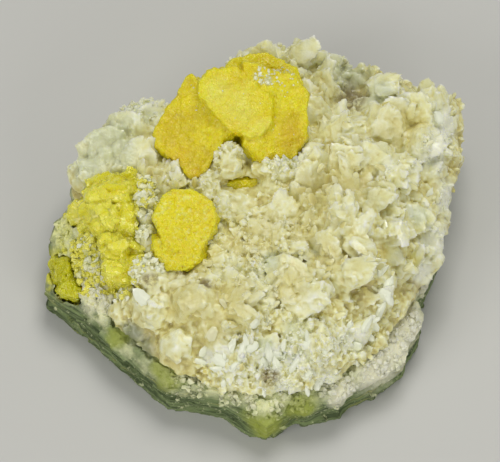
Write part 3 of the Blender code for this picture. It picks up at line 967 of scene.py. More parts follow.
# The same for the limestone.
RIM_PLACES = ((33, -29, 12, 10), (36, -23, 11, 9), (29, -36, 10, 9), (40, -12, 14, 8), (21, -41, 11, 6))
LEMON_PLACES = ((-41, -8, 18, 9), (-46, 2, 16, 8), (-34, -6, 20, 7))
PALE_PLACES = ((-35, -17, 15, 8), (-39, -14, 16, 6))
STAIN_PLACES = ((-46, -8, 11, 9), (-44, 6, 17, 7), (-34, -14, 16, 8), (-36, 2, 22, 7))
BARE_PLACES = ((-27, -31, 13.5, 5), (-33, -24, 13, 4))
OLIVE_PLACES = (
    (-20, -37, 11, 5), (2, -49, 7, 8), (10, -45, 10, 6), (-22, -35, 12, 4), (-33, -27, 12, 4),
)


class Lustre(Enum):
    """How rough a calcite surface is, from glassy to frosted."""

    GLASSY = 0.2
    BROKEN = 0.26
    FROSTED = 0.45


@dataclass(frozen=True)
class CalciteFinish:
    """Cream to honey calcite, slightly clear, coloured along a paleness with painted highlight on crests
    and painted shade, honey brown, in crevices.
    """

    name: str
    lustre: Lustre
    # Painted shade: crevices are painted this honey brown.
    crevice_shade: Colour = (0.56, 0.48, 0.18)
    honey: Colour = (0.74, 0.67, 0.27)
    cream: Colour = (0.85, 0.83, 0.47)
    white: Colour = (0.94, 0.97, 0.79)
    grey: Colour = (0.68, 0.72, 0.52)
    slate: Colour = (0.28, 0.30, 0.17)
    brown: Colour = (0.20, 0.14, 0.05)
    whiteness: float = 0.0
    grain: float = 1.0
    clear: float = 0.85
    reach: float = 1.15

    def material(self) -> bpy.types.Material:
        """Builds the material."""
        graph = Graph(self.name)
        ragged = graph.noise(5.0, 4.0)
        shade = graph.attribute("shade")
        wander = graph.calc("SUBTRACT", graph.noise(7.0, 4.0, shift=3.0), 0.5, held=False)
        shade = graph.calc("ADD", shade, graph.calc("MULTIPLY", wander, 0.9, held=False))
        island = graph.calc("SUBTRACT", graph.per_island(), 0.5, held=False)
        shade = graph.calc("ADD", shade, graph.calc("MULTIPLY", island, 0.3, held=False))
        shade = graph.calc("ADD", shade, self.whiteness)
        # The paleness runs from painted crevice shade through honey and cream to white, which on crests is
        # painted highlight.
        colour = graph.ramp(
            shade, ((0.0, self.crevice_shade), (0.28, self.honey), (0.55, self.cream), (0.95, self.white))
        )
        colour = graph.laid(colour, self.honey, graph.masks(HONEY_PLACES, ragged), 0.56)
        colour = graph.laid(colour, self.grey, graph.masks(GREY_PLACES, ragged), 0.75)
        colour = graph.laid(colour, self.white, graph.masks(WHITE_PLACES, ragged), 0.9)
        colour = graph.laid(colour, self.slate, graph.masks(SLATE_PLACES, ragged), 0.85)
        # Brown flecks are staining and painted shadow; the hollows get painted shade in dark brown.
        flecks = graph.band(graph.noise(1.6, 5.0), 0.36, 0.6)
        brown_mask = graph.calc("MULTIPLY", graph.masks(BROWN_STAIN_AND_SHADOW_PLACES, ragged), flecks)
        hollow_shade = graph.calc("MULTIPLY", graph.masks(HOLLOW_SHADE_PLACES, ragged), 0.88)
        brown_mask = graph.calc("MAXIMUM", brown_mask, hollow_shade)
        colour = graph.laid(colour, self.brown, brown_mask, 0.85)
        graph.feed(graph.shader.inputs["Base Color"], colour)
        rough = self.lustre.value
        graph.roughness(graph.noise(2.5, 4.0, shift=8.0), rough * 0.6, rough * 1.5)
        graph.set(
            IOR=1.56,
            Subsurface_Weight=self.clear,
            Subsurface_Radius=(1.0, 0.98, 0.66),
            Subsurface_Scale=self.reach * MM,
        )
        graph.bump(graph.noise(0.9, 5.0, shift=2.0), 0.25, 0.5 * self.grain)
        graph.bump(graph.cells(0.6), 0.12, 0.45 * self.grain)
        return graph.material


@dataclass(frozen=True)
class SulfurFinish:
    """Yellow sulfur with a resinous shine and an etched surface."""

    name: str
    bright: Colour = (0.92, 0.83, 0.006)
    deep: Colour = (0.84, 0.68, 0.002)
    amber: Colour = (0.70, 0.54, 0.002)
    pale: Colour = (0.93, 0.90, 0.16)
    orange: Colour = (0.74, 0.46, 0.01)
    brown: Colour = (0.42, 0.20, 0.01)
    frost: Colour = (0.84, 0.83, 0.60)
    roughness: float = 0.27
    pitted: float = 1.0
    dusting: float = 0.3
    clear: float = 0.6
    shine: float = 0.55
    coat: float = 0.3

    def material(self) -> bpy.types.Material:
        """Builds the material."""
        graph = Graph(self.name)
        ragged = graph.noise(5.0, 4.0)
        tone = graph.band(graph.noise(7.0, 4.0), 0.38, 0.62)
        mottle = graph.band(graph.noise(1.1, 4.0, shift=12.0), 0.42, 0.6)
        tone = graph.calc("ADD", graph.calc("MULTIPLY", tone, 0.6), graph.calc("MULTIPLY", mottle, 0.4))
        colour = graph.mix(tone, self.bright, self.deep)
        colour = graph.laid(colour, self.pale, graph.masks(PALE_SULFUR_PLACES, ragged), 0.6)
        colour = graph.laid(colour, self.amber, graph.masks(DEEP_SULFUR_PLACES, ragged), 0.6)
        colour = graph.laid(colour, self.orange, graph.masks(ORANGE_SULFUR_PLACES, ragged), 0.4)
        colour = graph.laid(colour, self.frost, graph.masks(WHITE_SULFUR_PLACES, ragged), 0.8)
        dust = graph.band(graph.noise(1.2, 5.0, shift=4.0), 0.5, 0.66)
        colour = graph.laid(colour, self.pale, dust, self.dusting)
        pits = graph.band(graph.cells(1.5), 0.24, 0.1)
        colour = graph.laid(colour, self.orange, pits, 0.3 * self.pitted)
        brown_mask = graph.band(graph.noise(1.3, 4.0, shift=9.0), 0.71, 0.8)
        colour = graph.laid(colour, self.brown, brown_mask, 0.25)
        graph.feed(graph.shader.inputs["Base Color"], colour)
        graph.roughness(graph.noise(1.4, 4.0, shift=1.0), self.roughness * 0.5, self.roughness * 1.5)
        graph.set(
            IOR=1.5,
            Specular_IOR_Level=self.shine,
            Subsurface_Weight=self.clear,
            Subsurface_Radius=(1.0, 0.85, 0.08),
            Subsurface_Scale=2.0 * MM,
            Coat_Weight=self.coat,
            Coat_Roughness=0.16,
        )
        graph.bump(graph.noise(0.7, 5.0, shift=2.0), 0.35, 0.7 * self.pitted)
        graph.bump(pits, 0.3, -0.8 * self.pitted)
        graph.bump(graph.cells(0.5), 0.25, 1.0)
        return graph.material


@dataclass(frozen=True)
class LimestoneFinish:
    """Grey layered limestone, its top crumbled to cream and stained with sulfur."""

    name: str
    grey: Colour = (0.23, 0.30, 0.12)
    dark: Colour = (0.08, 0.115, 0.042)
    vein: Colour = (0.40, 0.40, 0.12)
    cream: Colour = (0.92, 0.94, 0.56)
    yellow: Colour = (0.90, 0.87, 0.09)
    lemon: Colour = (0.95, 0.95, 0.42)
    olive: Colour = (0.44, 0.50, 0.07)
    rim: Colour = (0.95, 0.93, 0.72)

    def material(self) -> bpy.types.Material:
        """Builds the material."""
        graph = Graph(self.name)
        ragged = graph.noise(5.0, 5.0)
        layers = graph.noise(5.0, 4.0, graph.stretched(0.35, 0.35, 8.0))
        colour = graph.mix(graph.band(layers, 0.4, 0.6), self.dark, self.grey)
        seams = graph.band(graph.noise(6.0, 3.0, graph.stretched(0.25, 0.25, 5.0), 7.0), 0.6, 0.68)
        colour = graph.laid(colour, self.vein, seams, 0.8)
        fleck = graph.band(graph.noise(1.1, 5.0, shift=6.0), 0.56, 0.7)
        colour = graph.laid(colour, self.cream, fleck, 0.7)
        crumb = graph.mix(graph.band(graph.noise(2.6, 5.0, shift=2.0), 0.32, 0.52), self.grey, self.cream)
        wander = graph.calc("MULTIPLY", ragged, 6.0, held=False)
        top = graph.calc("ADD", graph.height(), wander, held=False)
        colour = graph.mix(graph.band(top, 12.0, 16.0), colour, crumb)
        colour = graph.laid(colour, self.rim, graph.masks(RIM_PLACES, ragged), 0.9)
        colour = graph.laid(colour, self.lemon, graph.masks(LEMON_PLACES, ragged), 0.85)
        colour = graph.laid(colour, self.rim, graph.masks(PALE_PLACES, ragged), 0.85)
        patches = graph.band(graph.noise(4.0, 4.0, shift=5.0), 0.44, 0.58)
        colour = graph.laid(colour, self.yellow, graph.masks(STAIN_PLACES, ragged), patches)
        colour = graph.laid(colour, self.grey, graph.masks(BARE_PLACES, ragged), 0.8)
        colour = graph.laid(colour, self.olive, graph.masks(OLIVE_PLACES, ragged), 0.75)
        graph.feed(graph.shader.inputs["Base Color"], colour)
        graph.roughness(graph.noise(2.0, 3.0), 0.6, 0.95)
        graph.set(
            IOR=1.5,
            Subsurface_Weight=0.2,
            Subsurface_Radius=(1.0, 0.9, 0.5),
            Subsurface_Scale=0.8 * MM,
        )
        graph.bump(layers, 0.9, 0.7)
        graph.bump(graph.noise(0.9, 6.0, shift=4.0), 0.6, 0.9)
        return graph.material


# The specimen's pieces.


@dataclass
class Limestone:
    """The grey slab that the crust grew on."""

    cell: float = 0.5
    relax: int = 3
    keep: float = 0.6

    def build(self) -> Skin:
        """Makes the slab with its layers and broken ledges."""
        skin = fused_skin(*solid_points("limestone_matrix"), self.cell, self.relax)
        points = skin.points
        wall = np.clip((WALL_TOP - points[:, 2]) / 1.5, 0.0, 1.0)
        layered = points * np.array([0.12, 0.12, 1.0])
        height = wall * rough_noise(layered, ((2.6, 0.3), (1.2, 0.35), (0.6, 0.25)), 3)
        height += (1.0 - 0.6 * wall) * rough_noise(points, ((4.0, 0.4), (1.8, 0.3), (0.9, 0.2)), 5)
        height += (1.0 - 0.4 * wall) * broken_facets(points, 3.4, 0.25, 0.25, 9)
        crumb = (1.0 - wall) * np.clip(-(points[:, 0] + 22.0) / 4.0, 0.0, 1.0)
        height += crumb * rough_noise(points, ((2.6, 0.5), (1.1, 0.3)), 12)
        height += crumb * broken_facets(points, 2.2, 0.4, 0.3, 15)
        skin.push(height - 0.25)
        material = LimestoneFinish("limestone").material()
        skin = thinned(skin, self.keep)
        piece = add_piece("limestone_slab", skin.points, skin.faces, material, 38.0)
        show(piece, "limestone", "limestone_matrix")
        return skin


@dataclass(frozen=True)
class Blade:
    """A large lens-shaped crystal: its middle, its turn in the display face, length and width."""

    x: float
    y: float
    z: float
    turn: float
    tilt: float
    swing: float
    length: float
    width: float


BLADES = (
    Blade(20.7, 8.4, 30.0, 90, -1, -19, 14.4, 7.4), Blade(13.1, 5.2, 28.8, 107, 4, -29, 12.0, 8.4),
    Blade(28.1, 10.1, 29.7, 110, -13, -21, 10.6, 7.8), Blade(30.9, 21.0, 30.0, 60, -6, -16, 11.0, 8.4),
    Blade(37.1, 25.1, 28.8, 20, 8, -24, 10.6, 8.8), Blade(40.6, 17.5, 28.3, -40, -11, -30, 9.6, 7.4),
    Blade(16.0, 34.2, 25.9, 70, -9, -21, 9.0, 6.4), Blade(14.6, 27.0, 26.5, 100, 4, -27, 8.4, 6.0),
    Blade(21.4, 19.6, 28.2, 12, 12, -20, 10.0, 5.4), Blade(19.8, -6.4, 30.4, 67, -16, -27, 14.4, 7.0),
    Blade(24.6, -8.0, 31.2, 54, 10, -17, 10.4, 3.8), Blade(24.5, -12.6, 29.8, -54, -10, -24, 9.0, 6.4),
    Blade(21.3, -19.4, 27.2, 10, -1, -25, 13.0, 6.0), Blade(7.8, -18.2, 26.8, -30, 3, -13, 11.6, 7.4),
    Blade(3.8, -7.8, 26.1, -28, 2, -21, 13.0, 5.4), Blade(12.4, -24.6, 25.9, 20, -9, -24, 10.6, 7.4),
    Blade(32.5, -7.0, 27.1, -20, -9, -30, 9.0, 6.4), Blade(28.4, 0.6, 29.3, 10, -11, -23, 10.0, 5.4),
    Blade(37.6, -1.2, 24.2, -50, 2, -29, 8.0, 5.4), Blade(35.4, 8.6, 28.1, -50, 11, -21, 9.6, 6.6),
    Blade(42.6, 8.6, 22.1, 100, -1, -32, 9.0, 5.0), Blade(-4.9, -25.2, 25.5, -10, 16, -32, 12.0, 8.0),
    Blade(-18.4, -31.6, 16.8, 30, -10, -22, 13.0, 9.0), Blade(-9.5, -33.4, 18.5, 0, 4, -20, 10.0, 7.0),
    Blade(-25.0, -23.4, 19.8, -40, 9, -27, 11.0, 8.0), Blade(-14.6, -24.6, 25.0, 15, 2, -18, 11.0, 8.0),
    Blade(29.0, -22.6, 19.5, 63, 10, -30, 13.0, 4.4), Blade(24.6, -29.6, 17.7, 63, 9, -24, 11.0, 4.4),
    Blade(10.8, 42.0, 26.4, 40, 11, -20, 9.6, 7.0), Blade(31.5, 32.5, 27.1, -30, 2, -26, 9.6, 6.4),
    Blade(-36.5, 19.6, 22.6, 50, 15, -27, 12.0, 9.0), Blade(-30.5, 23.6, 24.5, 20, 15, -30, 10.0, 8.0),
    Blade(-28.0, 13.6, 25.5, 80, -5, -19, 11.0, 8.0), Blade(2.0, 42.6, 26.1, 80, 3, -29, 9.0, 6.6),
    Blade(42.6, 29.0, 27.0, 120, -5, -15, 8.6, 6.4), Blade(6.0, -1.0, 26.5, 30, -1, -14, 9.0, 6.0),
    Blade(33.6, -14.4, 20.2, 40, 7, -16, 8.6, 5.4), Blade(2.5, -34.0, 18.8, 60, -10, -20, 9.0, 6.0),
    Blade(14.0, -33.5, 19.0, 100, 15, -29, 8.4, 5.4), Blade(-24.5, -15.6, 23.0, -20, -16, -30, 8.0, 6.0),
)

FROSTED_CALCITE = CalciteFinish(
    "calcite druse",
    Lustre.FROSTED,
    crevice_shade=(0.72, 0.63, 0.30),
    honey=(0.86, 0.79, 0.42),
    cream=(0.90, 0.86, 0.54),
    grey=(0.8, 0.8, 0.5),
    clear=0.0,
)
# Single white splinters: X, Y, turn in the display face, length and width.
SPLINTERS = (
    (-2.8, -34.6, 75, 7.0, 2.2), (-10.2, -31.6, 60, 3.6, 2.8), (-8.3, -36.6, 145, 5.0, 3.2),
    (-5.7, -33.6, 65, 5.0, 2.0), (-9.3, -38.6, 170, 3.4, 1.5), (3.0, -35.4, 100, 5.0, 1.9),
    (4.9, -37.4, 110, 6.0, 1.8), (6.5, -34.0, 80, 3.4, 1.4), (31.3, -19.6, 70, 5.0, 2.0),
    (29.8, -23.4, 65, 6.0, 1.7), (26.2, -28.4, 60, 5.0, 1.8), (-27.0, -22.0, 135, 5.6, 3.2),
    (30.0, -17.0, 50, 4.0, 1.4), (12.0, -33.0, 95, 4.0, 1.3), (9.0, -38.0, 60, 4.4, 1.5),
)
WHITE_PATCHES = (
    Patch(-8, -36, 5, 1.5), Patch(3, -36, 5, 2.0), Patch(10, -36, 5, 1.6), Patch(17, -38, 4, 1.2),
    Patch(25, -30, 4, 1.6), Patch(31, -21, 4, 1.4), Patch(45, 12, 5, 0.15), Patch(45, 24, 5, 0.15),
    Patch(42, -2, 5, 0.2), Patch(-27, 29, 4, 0.5),
)
# Lumps of calcite that bridge the gaps below the large group and beside the vein: place, half sizes.
BRIDGES = (
    (-5.0, 15.0, 25.6, 4.2, 3.2, 4.0), (1.5, 13.2, 25.4, 3.6, 2.6, 3.2),
    (-26.0, 0.5, 23.4, 3.2, 4.8, 5.2), (-26.4, 6.5, 22.0, 3.4, 4.2, 5.0),
    (-25.2, -5.5, 21.4, 3.0, 4.2, 4.4),
)
# Where more or fewer leaves lie.
LEAF_PATCHES = (
    Patch(-15, -28, 9, -0.8), Patch(-35, 18, 10, -0.9), Patch(24, 31.5, 6, -1.0),
    Patch(-6, 12, 6, -0.9), Patch(2, 9, 5, -0.8), Patch(-2.5, 6.4, 5.2, -8.0),
    Patch(20, 0, 14, 0.6), Patch(10, -12, 12, 0.6), Patch(34, 15, 10, 0.3),
)
# Where small calcite crystals crowd, and where the crust is smoother.
DRUSE_PATCHES = (
    Patch(-6.4, 13.6, 4.0, 3.0), Patch(3.4, 11.5, 4.0, 3.0), Patch(-2.5, 6.4, 5.0, -8.0),
    Patch(-12.4, 8.0, 4.0, 1.6), Patch(-9.0, 0.8, 5.0, 1.5), Patch(1.5, 0.8, 6.0, 1.6),
    Patch(8.1, -4.0, 5.0, 1.0),
    Patch(0.1, -12.4, 5.0, 1.2), Patch(0.5, -21.6, 5.5, 1.2), Patch(-8.0, -36.6, 5.0, 2.0),
    Patch(4.0, -37.4, 7.0, 2.6), Patch(14.0, -36.6, 6.0, 2.4), Patch(20.0, -32.0, 5.0, 1.6),
    Patch(-31.0, 28.0, 4.0, 1.2), Patch(-27.6, 27.6, 5.0, 1.6), Patch(7.6, 11.6, 3.0, 1.5),
    Patch(38.0, 12.0, 7.0, 0.6), Patch(24.0, 31.0, 4.5, -4.0), Patch(-15.4, -28.6, 8.0, -0.7),
    Patch(-33.0, 18.0, 9.0, -0.5), Patch(20.0, 4.0, 8.0, -0.4), Patch(30.0, 19.0, 8.0, -0.4),
    Patch(20.0, -10.0, 7.0, -0.4),
)


@dataclass
class Crust:
    """The calcite crust with its leaves, blades, points and splinters, sizes in millimetres."""

    cell: float = 0.25  # squares of the fused skin
    keep: float = 0.165  # share of its triangles that stay
    petals: int = 520  # large broken leaves fused into it
    body_leaves: int = 900  # smaller leaves fused into it
    leaf_count: int = 260  # crisp leaves on top of it
    point_count: int = 2800  # small crystals fused into it
    loose_points: int = 600  # small crystals on top of it
    splinters: int = 44  # white splinters strewn besides the placed ones
    proud: float = 0.5  # how far the large blades stand out
    relief: Relief = field(init=False)

    def build(self) -> Skin:
        """Makes the crust and everything that grows on it."""
        base = self.base()
        self.relief = Relief(base)
        skin = self.grown(base)
        broken = CalciteFinish("calcite crust", Lustre.BROKEN).material()
        # Painted highlight on crests and painted shade in crevices, from how far each point stands out.
        shade = self.shade(skin.points, 0.4) + np.clip(skin.crests(2) * 2.0, -0.22, 0.4)
        piece = add_piece("calcite_crust_skin", skin.points, skin.faces, broken, 44.0, shade)
        show(piece, "calcite", "calcite_crust")
        crisp = Gathering()
        self.leaves(crisp, skin, self.leaf_count, 12, (0.2, 0.35), (1.2, 1.9))
        glassy = CalciteFinish("calcite blades", Lustre.GLASSY, grain=0.5, clear=0.2, reach=0.4)
        show(crisp.piece("calcite_blades", glassy.material(), 18.0), "calcite")
        points = Gathering()
        self.druse(points, skin, self.loose_points, 8, (0.45, 1.0))
        show(points.piece("calcite_druse", FROSTED_CALCITE.material(), 25.0), "calcite")
        white = CalciteFinish("white calcite", Lustre.GLASSY, whiteness=0.45, clear=0.0)
        splinters = self.white_splinters(skin)
        show(splinters.piece("white_calcite_splinters", white.material(), 25.0), "calcite")
        return skin

    def base(self) -> Skin:
        """The crust's body, with broken lumps where it faces up."""
        base = fused_skin(*solid_points("calcite_crust"), 1.0, 16)
        lumps = broken_facets(base.points, 7.0, 0.26, 0.55, 51)
        lumps += broken_facets(base.points, 3.4, 0.24, 0.2, 57)
        base.push((0.6 + lumps) * np.clip(1.0 + 3.0 * base.normals()[:, 2], 0.0, 1.0))
        return base

    def grown(self, base: Skin) -> Skin:
        """The body with its bridges, blades, leaves and small crystals as one closed skin.

        Args:
            base: The body's skin.

        Returns:
            The closed skin.
        """
        grown = Gathering()
        grown.add(base.points, base.faces)
        for x, y, z, wide, deep, tall in BRIDGES:
            points, faces = ball_shape()
            grown.add(points * (wide, deep, tall) + (x, y, z), faces)
        self.large_blades(grown)
        self.leaves(grown, base, self.petals, 6, (0.1, 0.15), (2.15, 3.15))
        self.leaves(grown, base, self.body_leaves, 7, (0.13, 0.2), (1.5, 2.3))
        self.druse(grown, base, self.point_count, 9, (0.9, 2.4))
        skin = fused_skin(*grown.joined(), self.cell, 0, self.keep)
        height = broken_facets(skin.points, 2.6, 0.12, 0.05, 23)
        height += broken_facets(skin.points, 1.1, 0.06, 0.02, 29)
        skin.push(height)
        return skin

    def shade(self, points: Array, middle: float) -> Array:
        """How pale the calcite is at points: painted shade below the general level, a little painted
        highlight above it, and paler where small crystals crowd.

        Args:
            points: Places in millimetres.
            middle: The paleness at the general level.

        Returns:
            One value for each point.
        """
        crowd = np.clip(patch_strength(points, DRUSE_PATCHES), 0.0, 3.0)
        return middle + np.clip(self.relief.standing(points) / 12.0, -0.35, 0.1) + 0.07 * crowd

    def large_blades(self, made: Gathering) -> None:
        """Adds the large placed blades, but not on the smooth swell at the front left.

        Args:
            made: Where they are gathered.
        """
        rng = np.random.default_rng(5)
        for blade in BLADES:
            points, faces, _ = blade_shape(5, 6, rng)
            if blade.x < 0.0 and blade.y < -12.0:
                continue
            size = np.array([blade.length * 1.15, blade.width * 1.2, blade.width * 0.3])
            turn = display_turn(blade.turn, blade.tilt, blade.swing)
            middle = np.array([blade.x, blade.y, blade.z]) + self.proud * DISPLAY_WAY
            made.add((points * size) @ turn.T + middle, faces)

    def leaves(
        self,
        made: Gathering,
        skin: Skin,
        count: int,
        seed: int,
        thick: tuple[float, float],
        span: tuple[float, float],
    ) -> None:
        """Adds thin broken leaves that lap over each other like scales all over the crust.

        Args:
            made: Where they are gathered.
            skin: The surface they grow on.
            count: How many there are.
            seed: Picks another arrangement.
            thick: Least and greatest thickness as a share of the length.
            span: Least and greatest length in millimetres, before the power of 1.9.
        """
        rng = np.random.default_rng(seed)
        places, ways = strewn(skin, count, rng, self.leaf_weight)
        middles = np.array([(blade.x, blade.y) for blade in BLADES])
        for place, way in zip(places, ways):
            points, faces, near = blade_shape(1, 2, rng, 0.08)
            long = rng.uniform(*span) ** 1.9
            size = np.array([long, long * rng.uniform(0.45, 0.8), max(0.6, long * rng.uniform(*thick))])
            leader = BLADES[int(np.argmin(np.sum((middles - place[:2]) ** 2, axis=1)))]
            heading = leader.turn + rng.normal(0, 38)
            turn = display_turn(heading, rng.normal(0, 9), rng.normal(-11, 7))
            lean = turn_to(0.5 * way + 0.5 * DISPLAY_WAY, 0.0) @ turn_to(DISPLAY_WAY, 0.0).T
            # Painted shade at the buried end of each leaf and painted highlight towards its tip and along
            # its rim.
            shade = 0.4 + 0.3 * points[:, 0] + 0.35 * near**4 + rng.normal(0, 0.08)
            points = points * size + np.array([long * rng.uniform(0.05, 0.25), 0, 0])
            points = points @ (lean @ turn).T + place + way * rng.uniform(-0.5, 0.15)
            if within_box(points) and self.relief.within(points).min() > 0.0:
                made.add(points, faces, shade)

    def leaf_weight(self, points: Array) -> Array:
        """How crowded the leaves are at each place on the crust.

        Args:
            points: Places in millimetres.

        Returns:
            One value for each place.
        """
        crowd = np.clip(1.0 + patch_strength(points, LEAF_PATCHES), 0.05, 4.0)
        return crowd * (0.4 + 0.6 * clear_of_blades(points)) * (0.1 + 0.9 * self.relief.within(points))

    def druse_weight(self, points: Array) -> Array:
        """How crowded the small crystals are at each place on the crust.

        Args:
            points: Places in millimetres.

        Returns:
            One value for each place.
        """
        crowd = np.clip(0.12 + patch_strength(points, DRUSE_PATCHES), 0.02, 4.0)
        return crowd * clear_of_blades(points) * (0.25 + 0.75 * self.relief.within(points))

    def druse(
        self, made: Gathering, skin: Skin, count: int, seed: int, tall: tuple[float, float]
    ) -> None:
        """Adds small blocky crystals over the crust, crowded in some patches.

        Args:
            made: Where they are gathered.
            skin: The surface they grow on.
            count: How many there are.
            seed: Picks another arrangement.
            tall: Least and greatest height in millimetres.
        """
        rng = np.random.default_rng(seed)
        places, ways = strewn(skin, count, rng, self.druse_weight)
        for place, way in zip(places, ways):
            points, faces = point_shape(rng)
            size = tall[0] + (tall[1] - tall[0]) * rng.random() ** 1.6
            wide = size * rng.uniform(0.6, 1.0)
            lean = way + rng.normal(0, 0.4, 3) + np.array([0, -0.1, 0.2])
            turn = turn_to(lean / np.linalg.norm(lean), rng.uniform(0, math.tau))
            tip = np.clip(points[:, 2], 0.0, 1.0)
            points = (points * np.array([wide, wide, size])) @ turn.T + place
            # Painted shade below the general level and painted highlight towards each crystal's tip.
            made.add(points, faces, self.shade(points, 0.5) + 0.3 * tip**2)

    def white_splinters(self, skin: Skin) -> Gathering:
        """Bright broken blades along the front of the crust and its right edge.

        Args:
            skin: The surface they grow on.

        Returns:
            The gathered blades.
        """
        rng = np.random.default_rng(11)
        made = Gathering()
        tree = BVHTree.FromPolygons(skin.points.tolist(), skin.faces.tolist())
        for x, y, turn_about, long, wide in SPLINTERS:
            points, faces, near = blade_shape(3, 3, rng)
            place = np.array([x, y, ground([tree], x, y) + 0.4])
            points = (points * np.array([long, wide, 0.9])) @ display_turn(turn_about, 0, -14).T + place
            # Painted highlight along each splinter's rim.
            made.add(points, faces, 0.75 + 0.2 * near)
        places, ways = strewn(skin, self.splinters, rng, lambda p: 0.01 + patch_strength(p, WHITE_PATCHES))
        for place, way in zip(places, ways):
            points, faces, near = blade_shape(1, 2, rng)
            long = rng.uniform(1.6, 3.8)
            size = np.array([long, long * rng.uniform(0.4, 0.75), long * rng.uniform(0.2, 0.35)])
            turn = display_turn(rng.uniform(20, 160), rng.uniform(-30, 30), rng.uniform(-35, 5))
            points = (points * size) @ turn.T + place + way * 0.1
            if within_box(points):
                # Painted shade below the general level and painted highlight along the rim.
                made.add(points, faces, self.shade(points, 0.5) + 0.2 * near)
        return made


def within_box(points: Array) -> bool:
    """Whether a small shape stays about inside the outline of the solids."""
    return bool(np.all(np.abs(points[:, :2]) < OUTLINE))


def clear_of_blades(points: Array) -> Array:
    """Close to 0 on the large blades and 1 away from them.

    Args:
        points: Places in millimetres.

    Returns:
        One value for each place.
    """
    clear = np.ones(len(points))
    for blade in BLADES:
        turn = display_turn(blade.turn, blade.tilt, blade.swing)
        half = np.array([blade.length * 0.56, blade.width * 0.58, blade.width * 0.4])
        away = np.linalg.norm(((points - [blade.x, blade.y, blade.z]) @ turn) / half, axis=1)
        clear = np.minimum(clear, np.clip((away - 0.95) / 0.3, 0.02, 1.0))
    return clear


def strewn(
    skin: Skin, count: int, rng: np.random.Generator, weight: Callable[[Array], Array]
) -> tuple[Array, Array]:
    """Random places on the open faces of a skin.

    Args:
        skin: The surface.
        count: How many places.
        rng: Source of the random draws.
        weight: Gives how crowded each place is, from an array of places.

    Returns:
        The places and the surface's unit normal at each.
    """
    middle, normal, area = skin.face_frames()
    chance = area * weight(middle) * (middle[:, 2] > BEDDING) * (normal[:, 2] > STEEPEST)
    chosen = rng.choice(len(area), count, p=chance / chance.sum())
    first, second = rng.random((2, count, 1))
    flip = first + second > 1.0
    first, second = np.where(flip, 1.0 - first, first), np.where(flip, 1.0 - second, second)
    a, b, c = (skin.points[skin.faces[chosen, corner]] for corner in range(3))
    return a + (b - a) * first + (c - a) * second, normal[chosen]


@dataclass(frozen=True)
class SulfurPiece:
    """One body of sulfur: its solid, the fineness of its skin and how rough it is."""

    node: str
    name: str
    cell: float
    relax: int
    layers: tuple[tuple[float, float], ...]
    facets: tuple[tuple[float, float, float], ...]
    crease: float
    finish: SulfurFinish

    def build(self) -> Skin:
        """Makes the piece with its etched or broken surface."""
        skin = fused_skin(*solid_points(self.node), self.cell, self.relax)
        height = rough_noise(skin.points, self.layers, 41)
        for size, slope, step in self.facets:
            height += broken_facets(skin.points, size, slope, step, 47)
        skin.push(height)
        piece = add_piece(self.name, skin.points, skin.faces, self.finish.material(), self.crease)
        show(piece, "sulfur", self.node)
        return skin


# Relief of the sulfur: feature size and height of each layer, and width, slope and step of facets.
ETCH = ((6.0, 0.2), (2.4, 0.34), (1.4, 0.34), (0.7, 0.16))
GRAINY = ((6.0, 0.25), (1.4, 0.25), (0.7, 0.2))
SHATTER = ((3.0, 0.4), (0.9, 0.08))
ETCHED = SulfurFinish("etched sulfur")
FROSTED_SULFUR = SulfurFinish(
    "frosted sulfur", roughness=0.42, dusting=0.85, deep=(0.88, 0.74, 0.02), pale=(0.93, 0.90, 0.24)
)
GLOSSY = SulfurFinish(
    "shattered sulfur",
    (0.95, 0.90, 0.08),
    (0.91, 0.82, 0.02),
    (0.95, 0.95, 0.45),
    roughness=0.1,
    pitted=0.25,
    dusting=0.8,
    clear=0.5,
    shine=0.9,
    coat=0.8,
)
CRUMBLED = SulfurFinish(
    "crumbled sulfur",
    (0.95, 0.92, 0.22),
    (0.94, 0.88, 0.08),
    (0.95, 0.95, 0.5),
    roughness=0.15,
    pitted=0.2,
    dusting=0.9,
    clear=0.0,
    shine=0.9,
)
STAINED = SulfurFinish(
    "edge sulfur",
    (0.64, 0.64, 0.01),
    (0.56, 0.53, 0.005),
    (0.74, 0.74, 0.14),
    roughness=0.2,
    pitted=0.4,
    dusting=0.4,
)
GROUP_FACETS = ((1.7, 0.1, 0.1),)
CRYSTAL_FACETS = ((1.1, 0.3, 0.06),)
VEIN_FACETS = ((4.4, 0.42, 0.35), (1.7, 0.36, 0.1))
EDGE_FACETS = ((1.6, 0.35, 0.15),)
SULFUR = (
    SulfurPiece("sulfur_large_group", "large_sulfur_skin", 0.32, 1, ETCH, GROUP_FACETS, 60.0, ETCHED),
    SulfurPiece(
        "sulfur_single_crystal", "single_sulfur_skin", 0.28, 3, GRAINY, CRYSTAL_FACETS, 40.0, FROSTED_SULFUR
    ),
    SulfurPiece("sulfur_lower_crystal", "lower_sulfur_skin", 0.28, 2, ETCH, (), 60.0, ETCHED),
    SulfurPiece("sulfur_vein", "sulfur_vein_skin", 0.3, 6, SHATTER, VEIN_FACETS, 16.0, GLOSSY),
    SulfurPiece("sulfur_edge_patch", "sulfur_edge_skin", 0.3, 2, SHATTER, EDGE_FACETS, 22.0, STAINED),
)


@dataclass(frozen=True)
class Heap:
    """A patch of loose-looking broken grains that have grown fast to what is under them."""

    x: float
    y: float
    radius: float
    count: int
    size: float
    lift: float = 0.0


